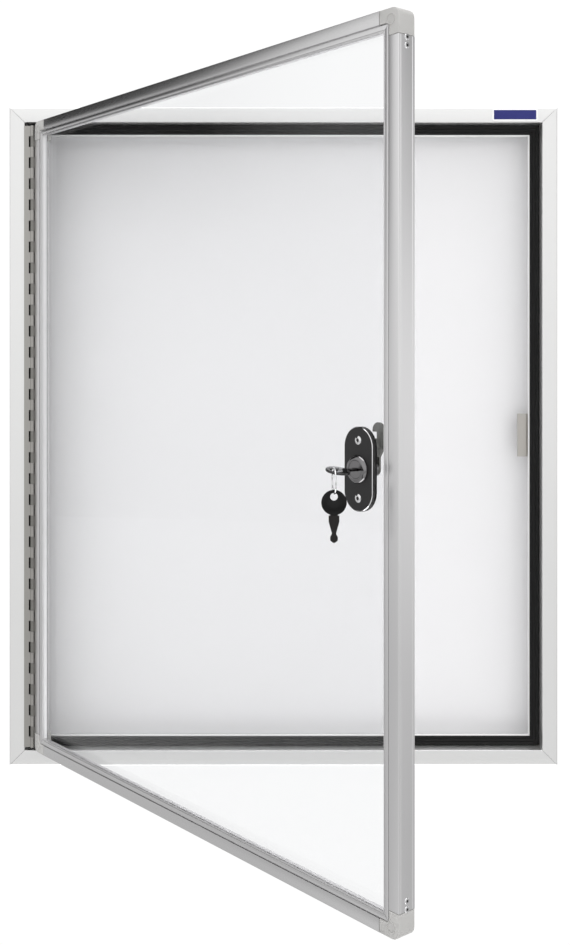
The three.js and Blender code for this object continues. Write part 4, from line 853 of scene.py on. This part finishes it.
class BOARD_OT_door_bars(BoardOperator, bpy.types.Operator):
    """The door's four bars and the U gaskets in them"""

    bl_idname = "board.door_bars"
    bl_label = "Door bars"

    def build(self, looks, sizes):
        groove_end = BAR_FLAT + BAR_GROOVE_WIDTH
        lip_face = BAR_LIP_DROP + BAR_LIP_SLOPE
        notch_start = lip_face + BAR_NOTCH_START
        notch_end = notch_start + BAR_NOTCH_WIDTH
        notch_floor = BAR_WIDTH - BAR_NOTCH_DEPTH
        line_start = BAR_WIDTH - LIP_LINE_FROM_EDGE
        line_end = line_start + LIP_LINE_WIDTH
        line_floor = lip_face + LIP_LINE_DEPTH
        side_grooves = []
        for middle in SIDE_GROOVES:
            side_grooves += [
                (0, middle + SIDE_GROOVE_HALF, 0),
                (SIDE_GROOVE_DEPTH, middle, 0),
                (0, middle - SIDE_GROOVE_HALF, 0),
            ]
        bar = rounded_outline([
            (0, 0, BAR_EDGE_RADIUS),
            (BAR_FLAT, 0, 0),
            (BAR_FLAT, CHANNEL_FRONT, 0),
            (CHANNEL_BOTTOM, CHANNEL_FRONT, 0),
            (CHANNEL_BOTTOM, CHANNEL_REAR, 0),
            (BAR_REAR_LIP, CHANNEL_REAR, 0),
            (BAR_REAR_LIP, CHANNEL_REAR + BAR_REAR_LIP_EDGE, 0),
            (BAR_REAR_FLAT, DOOR_THICKNESS, 0),
            (0, DOOR_THICKNESS, BAR_EDGE_RADIUS),
            *side_grooves,
        ])
        lip = rounded_outline([
            (BAR_FLAT, BAR_GROOVE_DEPTH, 0),
            (groove_end, BAR_GROOVE_DEPTH, 0),
            (groove_end, BAR_LIP_DROP, 0),
            (line_start, lip_face, 0),
            (line_start, line_floor, 0),
            (line_end, line_floor, 0),
            (line_end, lip_face, 0),
            (BAR_WIDTH, lip_face, 0),
            (BAR_WIDTH, notch_start, 0),
            (notch_floor, notch_start, 0),
            (notch_floor, notch_end, 0),
            (BAR_WIDTH, notch_end, 0),
            (BAR_WIDTH, CHANNEL_FRONT, 0),
            (BAR_FLAT, CHANNEL_FRONT, 0),
        ])
        edge = BAR_WIDTH - GASKET_SET_IN
        rear_edge = BAR_REAR_LIP - GASKET_SET_IN
        bottom = CHANNEL_BOTTOM + 2 * GASKET_GAP
        floor = bottom + GASKET_FLOOR - GASKET_GAP
        gasket = rounded_outline([
            (bottom, CHANNEL_FRONT + GASKET_GAP, 0),
            (edge, CHANNEL_FRONT + GASKET_GAP, GASKET_RADIUS),
            (edge, PANE_FRONT - GASKET_GAP, GASKET_RADIUS),
            (floor, PANE_FRONT - GASKET_GAP, 0),
            (floor, PANE_REAR + GASKET_GAP, 0),
            (rear_edge, PANE_REAR + GASKET_GAP, GASKET_RADIUS),
            (rear_edge, CHANNEL_REAR - GASKET_GAP, GASKET_RADIUS),
            (bottom, CHANNEL_REAR - GASKET_GAP, 0),
        ])
        for side, name in DOOR_BARS.items():
            slot = f"door_aluminium.{way_of(side)}"
            self.run(bar, side, square_cut, f"bar_{name}", slot, [f"door_{name}"])
            self.run(lip, side, mitred, f"lip_{name}", slot, [])
            self.run(gasket, side, mitred, f"glazing_strip_{side}", "black_rubber.strip",
                     [f"pane_gasket_{side}"])

    def run(self, outline, side, end, name, slot, nodes):
        """Carries an outline along one side of the door."""
        grid = bar_grid(outline, side, end, DOOR_WIDTH, DOOR_HEIGHT, DOOR_MIDDLE_X, DOOR_FACE)
        place_grid(turned_with_door(grid, HINGE_AXIS), name, "door", slot, nodes)


class BOARD_OT_corners(BoardOperator, bpy.types.Operator):
    """The moulded corner blocks and the screws in the lock stile's edge"""

    bl_idname = "board.corners"
    bl_label = "Corner blocks"

    def build(self, looks, sizes):
        for corner in CORNERS:
            self.block(corner, sizes.moulded_edge)
        for end, upward in (("top", 1), ("bottom", -1)):
            for step, row in enumerate(("outer", "inner")):
                height = DOOR_HEIGHT / 2 - EDGE_SCREW_FIRST - step * EDGE_SCREW_PITCH
                self.edge_screw(f"{end}_{row}", height * upward)

    def edge_screw(self, name, height):
        """A domed head, turned about a line square to the stile's edge, with a black disc on its top
        as painted shade for a round recess.
        """
        profile = rounded_outline([
            (AXIS_RADIUS, EDGE_SCREW_LENGTH, 0),
            (EDGE_SCREW_SHANK_RADIUS, EDGE_SCREW_LENGTH, 0),
            (EDGE_SCREW_SHANK_RADIUS, 0, 0),
            (EDGE_SCREW_RADIUS, 0, 0),
            (EDGE_SCREW_RADIUS, -EDGE_SCREW_DOME, EDGE_SCREW_DOME),
            (AXIS_RADIUS, -EDGE_SCREW_DOME, 0),
        ])
        self.edge_turned(profile, height, f"stile_screw_{name}", "bright_screws",
                         [f"corner_screw_{name}"])
        # A black disc just proud of the head's flat top: painted shade standing for the screw's
        # recess.
        recess = box_outline(AXIS_RADIUS, 0, EDGE_SCREW_SHADE_RADIUS, -EDGE_SCREW_SHADE_FRONT, 0)
        self.edge_turned(recess, height, f"stile_screw_recess_shade_{name}", "lock_black", [])

    def edge_turned(self, profile, height, name, slot, nodes):
        """Turns (radius, depth) points about a line that runs in from the stile's edge."""
        points = lathe_grid(profile)
        edge = np.array((DOOR_FROM_AXIS + DOOR_WIDTH, DOOR_FACE + DOOR_THICKNESS / 2, height))
        local = edge + np.stack((-points[..., 1], points[..., 0], points[..., 2]), axis=-1)
        place_grid(turned_with_door(local, HINGE_AXIS), name, "door", slot, nodes, wrap_rows=True)

    def block(self, corner, edge):
        """An L of both bars' flat bands with a filleted inner corner, and a ring moulded on it."""
        grid = np.stack([
            np.insert(self.outline(inset), 1, depth, axis=1)
            for depth, inset in ((DOOR_THICKNESS, edge), (DOOR_THICKNESS - edge, 0), (edge, 0),
                                 (edge / EDGE_PARTS, edge / EDGE_PARTS), (0, edge))])
        place_grid(self.at_corner(corner, grid), f"corner_block_{corner}", "door",
                   "grey_plastic", [f"door_corner_{corner}"])
        ring = rounded_outline([
            (BOSS_RADIUS, BOSS_ROOT, 0),
            (BOSS_RADIUS, -BOSS_HEIGHT, BOSS_EDGE_RADIUS),
            (BOSS_RADIUS - BOSS_RIM, -BOSS_HEIGHT, BOSS_EDGE_RADIUS),
            (BOSS_RADIUS - BOSS_RIM, BOSS_ROOT, 0),
        ])
        local = lathe_grid(ring) + np.array((BOSS_FROM_EDGE, 0, BOSS_FROM_EDGE))
        place_grid(self.at_corner(corner, local), f"corner_ring_{corner}", "door",
                   "grey_plastic", [], wrap_rows=True)

    def outline(self, inset):
        """The L seen from the front, drawn in all round by the inset."""
        flat = BAR_FLAT - inset
        return rounded_outline([
            (inset, inset, BLOCK_OUTER_RADIUS - inset),
            (BLOCK_LEG, inset, 0),
            (BLOCK_LEG, flat, 0),
            (flat, flat, BLOCK_FILLET),
            (flat, BLOCK_LEG, 0),
            (inset, BLOCK_LEG, 0),
        ])

    def at_corner(self, corner, points):
        """Takes (inward, depth, inward) to the door's corner, mirrored where a side needs it."""
        end, side = corner.split("_")
        across = 1 if side == "left" else -1
        upward = 1 if end == "bottom" else -1
        origin = np.array((DOOR_MIDDLE_X - across * DOOR_WIDTH / 2, DOOR_FACE,
                           -upward * DOOR_HEIGHT / 2))
        return turned_with_door(origin + points * np.array((across, 1, upward)), HINGE_AXIS)


class BOARD_OT_hinge(BoardOperator, bpy.types.Operator):
    """The piano hinge's leaves, pin and rivets"""

    bl_idname = "board.hinge"
    bl_label = "Hinge"

    def build(self, looks, sizes):
        softened("hinge_case_leaf", "hinge_leaf_case", "zinc_plate", 0)
        # The door leaf takes the darker copy of the zinc: painted shade.
        softened("hinge_door_leaf", "hinge_leaf_door", "zinc_plate.door_shaded", 0)
        dress("hinge_pin", "plain_steel")
        for rivet in RIVETS:
            softened(f"hinge_{rivet}", rivet, "plain_steel", sizes.soft_edge)


class BOARD_OT_strike(BoardOperator, bpy.types.Operator):
    """The strike inside the case and its screws"""

    bl_idname = "board.strike"
    bl_label = "Strike"

    def build(self, looks, sizes):
        softened("strike_plate", "strike_angle", "zinc_plate.strike", sizes.soft_edge)
        for end in ("upper", "lower"):
            softened(f"strike_screw_{end}", f"strike_fixing_{end}", "plain_steel", sizes.soft_edge)


class BOARD_OT_lock(BoardOperator, bpy.types.Operator):
    """The lock's plates, cylinder, nut, cam and screws"""

    bl_idname = "board.lock"
    bl_label = "Lock"

    def build(self, looks, sizes):
        self.cover()
        dress("lock_gasket", "black_rubber")
        softened("lock_inner_plate", "lock_backplate", "zinc_plate", sizes.soft_edge)
        softened("lock_nut", "lock_ring_nut", "lock_black", sizes.soft_edge)
        self.screw("upper", PLATE_SCREW_OFFSET)
        self.screw("lower", -PLATE_SCREW_OFFSET)
        self.cylinder()
        softened("lock_plug", "plug", "lock_chrome", sizes.soft_edge)
        softened("lock_cam", "cam", "plain_steel", sizes.soft_edge)
        softened("cam_screw", "cam_fixing", "plain_steel", sizes.soft_edge)

    def stadium(self, inset):
        """A half circle at each end of a straight middle: middle + radius (cos t, sin t)."""
        radius = PLATE_WIDTH / 2 - inset
        middle = (PLATE_HEIGHT - PLATE_WIDTH) / 2 * np.where(ROUND_TURN < math.pi, 1, -1)
        return np.column_stack((radius * np.cos(ROUND_TURN), middle + radius * np.sin(ROUND_TURN)))

    def cover(self):
        """The plate: stadium rings from its rear over a polished chamfer to its satin face."""
        rear = PLATE_FRONT + PLATE_CHAMFER
        front = PLATE_FRONT + PLATE_RIM
        body = self.rings(((PLATE_REAR, 0), (rear, 0), (rear, PLATE_RIM)))
        place_grid(body, "lock_cover", "door", "lock_black", ["lock_plate"])
        edge = self.rings(((rear, PLATE_RIM), (front, PLATE_CHAMFER)))
        place_grid(edge, "lock_cover_chamfer", "door", "bright_screws", [])
        face = self.rings(((front, PLATE_CHAMFER), (PLATE_FRONT, PLATE_CHAMFER)))
        place_grid(face, "lock_cover_face", "door", "lock_black", [])

    def rings(self, steps):
        """Rings of (depth, inset) steps of the stadium, placed with the door."""
        grid = np.stack([
            np.insert(self.stadium(inset), 1, depth, axis=1) for depth, inset in steps])
        return turned_with_door(grid, LOCK_AXIS)

    def screw(self, end, height):
        """A raised countersunk head with a round recess, turned about its own axis."""
        top = PLATE_FRONT - SCREW_DOME
        profile = rounded_outline([
            (AXIS_RADIUS, SCREW_END, 0),
            (SCREW_SHANK_RADIUS, SCREW_END, 0),
            (SCREW_SHANK_RADIUS, SCREW_HEAD_END, 0),
            (SCREW_HEAD_RADIUS, SCREW_HEAD_END, 0),
            (SCREW_HEAD_RADIUS, PLATE_FRONT, SCREW_DOME),
            (SCREW_RECESS_RADIUS, top, 0),
            (SCREW_RECESS_RADIUS, top + SCREW_RECESS_DEPTH, 0),
            (AXIS_RADIUS, top + SCREW_RECESS_DEPTH, 0),
        ])
        local = lathe_grid(profile) + np.array((0, 0, height))
        place_grid(turned_with_door(local, LOCK_AXIS), f"cover_screw_{end}", "door",
                   "bright_screws", [f"lock_plate_screw_{end}"], wrap_rows=True)

    def cylinder(self):
        """The housing turned about the lock's axis: a rounded bezel, a barrel and its bore."""
        profile = rounded_outline([
            (BEZEL_BASE_RADIUS, BEZEL_FRONT, BEZEL_ROUND),
            (BEZEL_BASE_RADIUS, BEZEL_BASE, 0),
            (HOUSING_RADIUS, BEZEL_BASE, 0),
            (HOUSING_RADIUS, HOUSING_END, HOUSING_EDGE_RADIUS),
            (HOUSING_TAIL_BORE, HOUSING_END, 0),
            (HOUSING_TAIL_BORE, HOUSING_END - HOUSING_REAR_WALL, 0),
            (HOUSING_BORE, HOUSING_END - HOUSING_REAR_WALL, 0),
            (HOUSING_BORE, FLANGE_FLOOR, 0),
            (FLANGE_BORE, FLANGE_FLOOR, 0),
            (FLANGE_BORE, BEZEL_FRONT, 0),
        ])
        grid = turned_with_door(lathe_grid(profile), LOCK_AXIS)
        place_grid(grid, "lock_barrel", "door", "lock_black.polished", ["lock_housing"],
                   wrap_rows=True)


class BOARD_OT_keys(BoardOperator, bpy.types.Operator):
    """Both keys and the ring that joins them"""

    bl_idname = "board.keys"
    bl_label = "Keys and ring"

    def build(self, looks, sizes):
        softened("key_blade", "blade_in_lock", "lock_chrome.blade", sizes.soft_edge)
        softened("spare_key_blade", "blade_spare", "lock_chrome.blade", sizes.soft_edge)
        right, inward, up = np.eye(3)
        side, outward = turned_about_z(np.stack((right, -inward)), DOOR_TURN)
        level = math.cos(KEY_ROLL) * side - math.sin(KEY_ROLL) * up
        normal = math.cos(KEY_ROLL) * up + math.sin(KEY_ROLL) * side
        self.head("key_head", "head_in_lock", "key_plastic.glossy", (level, outward, normal))
        self.head("spare_key_head", "head_spare", "key_plastic", (right, up, inward))
        self.ring()

    def head(self, node, name, slot, axes):
        """Rings from an off-centre hole over the front, round the rim and back behind.

        Each is a circle, middle + radius (cos t, sin t), at its own height.
        """
        half = KEY_HEAD_THICKNESS / 2
        edge = KEY_HEAD_EDGE
        part = edge / EDGE_PARTS
        front = np.array((
            (KEY_HOLE_OFFSET, KEY_HOLE_RADIUS, half - edge),
            (KEY_HOLE_OFFSET, KEY_HOLE_RADIUS + part, half - part),
            (KEY_HOLE_OFFSET, KEY_HOLE_RADIUS + edge, half),
            (0, KEY_HEAD_RADIUS - edge, half),
            (0, KEY_HEAD_RADIUS - part, half - part),
            (0, KEY_HEAD_RADIUS, half - edge),
        ))
        rings = np.concatenate((front, front[::-1] * (1, 1, -1)))
        across = rings[:, 1:2] * np.cos(ROUND_TURN)
        along = rings[:, 0:1] + rings[:, 1:2] * np.sin(ROUND_TURN)
        height = np.broadcast_to(rings[:, 2:3], across.shape)
        middle = np.mean(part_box(node), axis=0)
        grid = middle + np.stack((across, along, height), axis=-1) @ np.stack(axes)
        place_grid(grid, name, node.removesuffix("_head"), slot, [node], wrap_rows=True)

    def ring(self):
        """A round wire turned about world x, then hung a little askew by a turn about z."""
        half = RING_WIRE / 2
        section = box_outline(RING_RADIUS - half, -half, RING_RADIUS + half, half,
                              RING_EDGE_RADIUS)
        upright = lathe_grid(section)[:, :, [1, 0, 2]]
        grid = turned_about_z(upright, RING_YAW) + RING_CENTRE
        place_grid(grid, "split_ring", "ring", "bright_screws", ["key_ring"], wrap_rows=True)


# Stage: floor, room, lights and camera

# The point that the softboxes face, and for each its place, width, height and power in watts
SOFTBOX_TARGET = (0, -0.1, 0)
SOFTBOXES = {
    "front_left": ((-1.6, -2.2, 1.3), 2.4, 2.4, 4.5),
    "front_right": ((1.9, -2.0, 0.9), 1.8, 2.4, 4.5),
    "front_middle": ((0.1, -3.0, 0.9), 1.6, 1.6, 4),
    "overhead": ((0.2, -0.6, 2.2), 2.4, 1.6, 9),
}

# Room brightness by direction. The turn runs from 0 in front to 1 behind, the height from 0 below
# to 1 above. A weight of 1 takes the level of the open room, and 0 that of the side wall.
BELOW_SHARES = ((0.0, PANEL_LEVEL_SHARE), (0.04, PANEL_LEVEL_SHARE))
ABOVE_SHARES = ((0.96, PANEL_LEVEL_SHARE), (1.0, PANEL_LEVEL_SHARE))
OPEN_LEVEL_SHARES = ((0.0, 1.04), (0.3, 1.0), (0.5, 0.84), (0.6, 0.8), (0.9, 0.95), (1.0, 1.0))
OPEN_HEIGHT_SHARES = (
    *BELOW_SHARES, (0.06, 0.7), (0.25, 0.86), (0.36, 0.54), (0.5, 0.97), (0.62, 1.04), (0.94, 1.0),
    *ABOVE_SHARES)
LEFT_WEIGHT_SHARES = ((0.0, 1.0), (0.565, 1.0), (0.62, 0.0), (0.86, 0.0), (0.93, 1.0))
LEFT_WALL_SHARES = (
    *BELOW_SHARES, (0.06, 0.5), (0.38, 0.55), (0.5, 0.75), (0.55, 0.5), (0.58, 0.03), (0.94, 0.02),
    *ABOVE_SHARES)
RIGHT_WEIGHT_SHARES = ((0.3, 1.0), (0.44, 0.0), (0.8, 0.0), (0.9, 1.0))
RIGHT_WALL_SHARES = (
    *BELOW_SHARES, (0.06, 0.5), (0.35, 0.5), (0.5, 1.04), (0.63, 0.3), (0.94, 0.3), *ABOVE_SHARES)


def level_ramp(build, factor, stops):
    """A colour ramp that turns a 0 to 1 value into a brightness."""
    node = build.add("ShaderNodeValToRGB", {"Fac": factor})
    ramp = node.color_ramp
    ramp.elements[1].position = stops[-1][0]
    ramp.elements[0].position = stops[0][0]
    for place_share, _ in stops[1:-1]:
        ramp.elements.new(place_share)
    for element, (_, level_share) in zip(ramp.elements, stops):
        element.color = (level_share, level_share, level_share, 1)
    return node.outputs["Color"]


class BOARD_OT_stage(BoardOperator, bpy.types.Operator):
    """Pale floor, plain studio light and the photographer's camera"""

    bl_idname = "board.stage"
    bl_label = "Stage"

    def build(self, looks, sizes):
        self.camera()
        self.floor()
        self.room()
        for name, (spot, width, height, power) in SOFTBOXES.items():
            self.softbox(name, spot, width, height, power)
        bpy.context.scene.view_settings.view_transform = "Standard"

    def camera(self):
        data = bpy.data.cameras.new("camera")
        data.lens = CAMERA_LENS_MM
        data.shift_y = CAMERA_SHIFT_Y
        camera = add_object("camera", data)
        camera.location = (CAMERA_X, -(CASE_DEPTH + CAMERA_DISTANCE), CAMERA_Z)
        camera.rotation_euler = (math.pi / 2, 0, 0)
        bpy.context.scene.camera = camera

    def floor(self):
        half = FLOOR_HALF
        mesh = bpy.data.meshes.new("floor")
        corners = ((-half, -half, FLOOR_Z), (half, -half, FLOOR_Z), (half, half, FLOOR_Z),
                   (-half, half, FLOOR_Z))
        mesh.from_pydata(corners, [], [(0, 1, 2, 3)])
        build, shader = new_material("pale_floor")
        build.fill(shader, {"Base Color": FLOOR_COLOR, "Roughness": FLOOR_ROUGHNESS})
        glow = build.add("ShaderNodeEmission", {"Strength": WHITE_LEVEL})
        build.surface(build.seen_straight(), shader, glow)
        mesh.materials.append(bpy.data.materials["pale_floor"])
        floor = add_object("floor", mesh)
        floor.visible_glossy = False

    def room(self):
        """White to the eye. What the metal mirrors depends on the direction: bright in front, a
        dark wall to the left behind the open door, the white backdrop straight behind, and
        bright panels right above and below."""
        world = bpy.data.worlds.new("studio")
        bpy.context.scene.world = world
        world.use_nodes = True
        build = GroupBuilder(world.node_tree)
        coordinates = build.add("ShaderNodeTexCoord").outputs["Generated"]
        x, y, z = build.add("ShaderNodeSeparateXYZ", {0: coordinates}).outputs
        squares = build.math("ADD", build.math("MULTIPLY", x, x), build.math("MULTIPLY", y, y))
        root = build.math("POWER", squares, SQUARE_ROOT)
        length = build.math("MAXIMUM", root, SHORTEST_DIRECTION)
        turn = self.half_up(build, build.math("DIVIDE", y, length))
        height = self.half_up(build, z)
        room = build.mix("MULTIPLY", 1.0, level_ramp(build, turn, OPEN_LEVEL_SHARES),
                         level_ramp(build, height, OPEN_HEIGHT_SHARES))
        sides = [
            build.mix("MIX", level_ramp(build, turn, weight), level_ramp(build, height, wall), room)
            for weight, wall in ((LEFT_WEIGHT_SHARES, LEFT_WALL_SHARES),
                                 (RIGHT_WEIGHT_SHARES, RIGHT_WALL_SHARES))
        ]
        mirrored = build.mix("MIX", build.math("GREATER_THAN", x, 0.0), *sides)
        white = (WHITE_LEVEL, WHITE_LEVEL, WHITE_LEVEL, 1)
        seen = build.mix("MIX", build.seen_straight(), mirrored, white)
        build.fill(world.node_tree.nodes["Background"], {"Color": seen})

    def half_up(self, build, value):
        """Takes -1 to 1 to 0 to 1: half the value + a half."""
        return build.math("ADD", build.math("MULTIPLY", value, MIDDLE_SHARE), MIDDLE_SHARE)

    def softbox(self, name, spot, width, height, power):
        """A rectangle of light whose -z looks at the target: yaw about z after pitch about x."""
        data = bpy.data.lights.new(name, "AREA")
        data.shape = "RECTANGLE"
        data.size = width
        data.size_y = height
        data.energy = power
        light = add_object(name, data)
        light.location = spot
        aim = np.subtract(SOFTBOX_TARGET, spot)
        yaw = math.atan2(-aim[0], aim[1])
        pitch = math.atan2(math.hypot(aim[0], aim[1]), -aim[2])
        light.rotation_euler = (pitch, 0, yaw)
        light.visible_glossy = False


class BOARD_PT_sidebar(bpy.types.Panel):
    """Lists the board's settings and operators in the sidebar."""

    bl_idname = "BOARD_PT_sidebar"
    bl_label = "Notice board"
    bl_space_type = "VIEW_3D"
    bl_region_type = "UI"
    bl_category = "Notice board"

    def draw(self, context):
        for settings in (context.scene.board_sizes, context.scene.board_looks):
            for key in settings.bl_rna.properties.keys():
                if key not in ("rna_type", "name"):
                    self.layout.prop(settings, key)
        for operator in OPERATORS:
            self.layout.operator(operator.bl_idname)


OPERATORS = (
    BOARD_OT_finishes,
    BOARD_OT_case_bars,
    BOARD_OT_seal,
    BOARD_OT_back,
    BOARD_OT_label,
    BOARD_OT_door_bars,
    BOARD_OT_corners,
    BOARD_OT_hinge,
    BOARD_OT_strike,
    BOARD_OT_lock,
    BOARD_OT_keys,
    BOARD_OT_stage,
)
CLASSES = (BoardLooks, BoardSizes, *OPERATORS, BOARD_PT_sidebar)


def register():
    for item in CLASSES:
        bpy.utils.register_class(item)
    bpy.types.Scene.board_looks = bpy.props.PointerProperty(type=BoardLooks)
    bpy.types.Scene.board_sizes = bpy.props.PointerProperty(type=BoardSizes)


def unregister():
    del bpy.types.Scene.board_sizes
    del bpy.types.Scene.board_looks
    for item in reversed(CLASSES):
        bpy.utils.unregister_class(item)


def main():
    register()
    for operator in OPERATORS:
        group, name = operator.bl_idname.split(".")
        getattr(getattr(bpy.ops, group), name)()


if __name__ == "__main__":
    main()
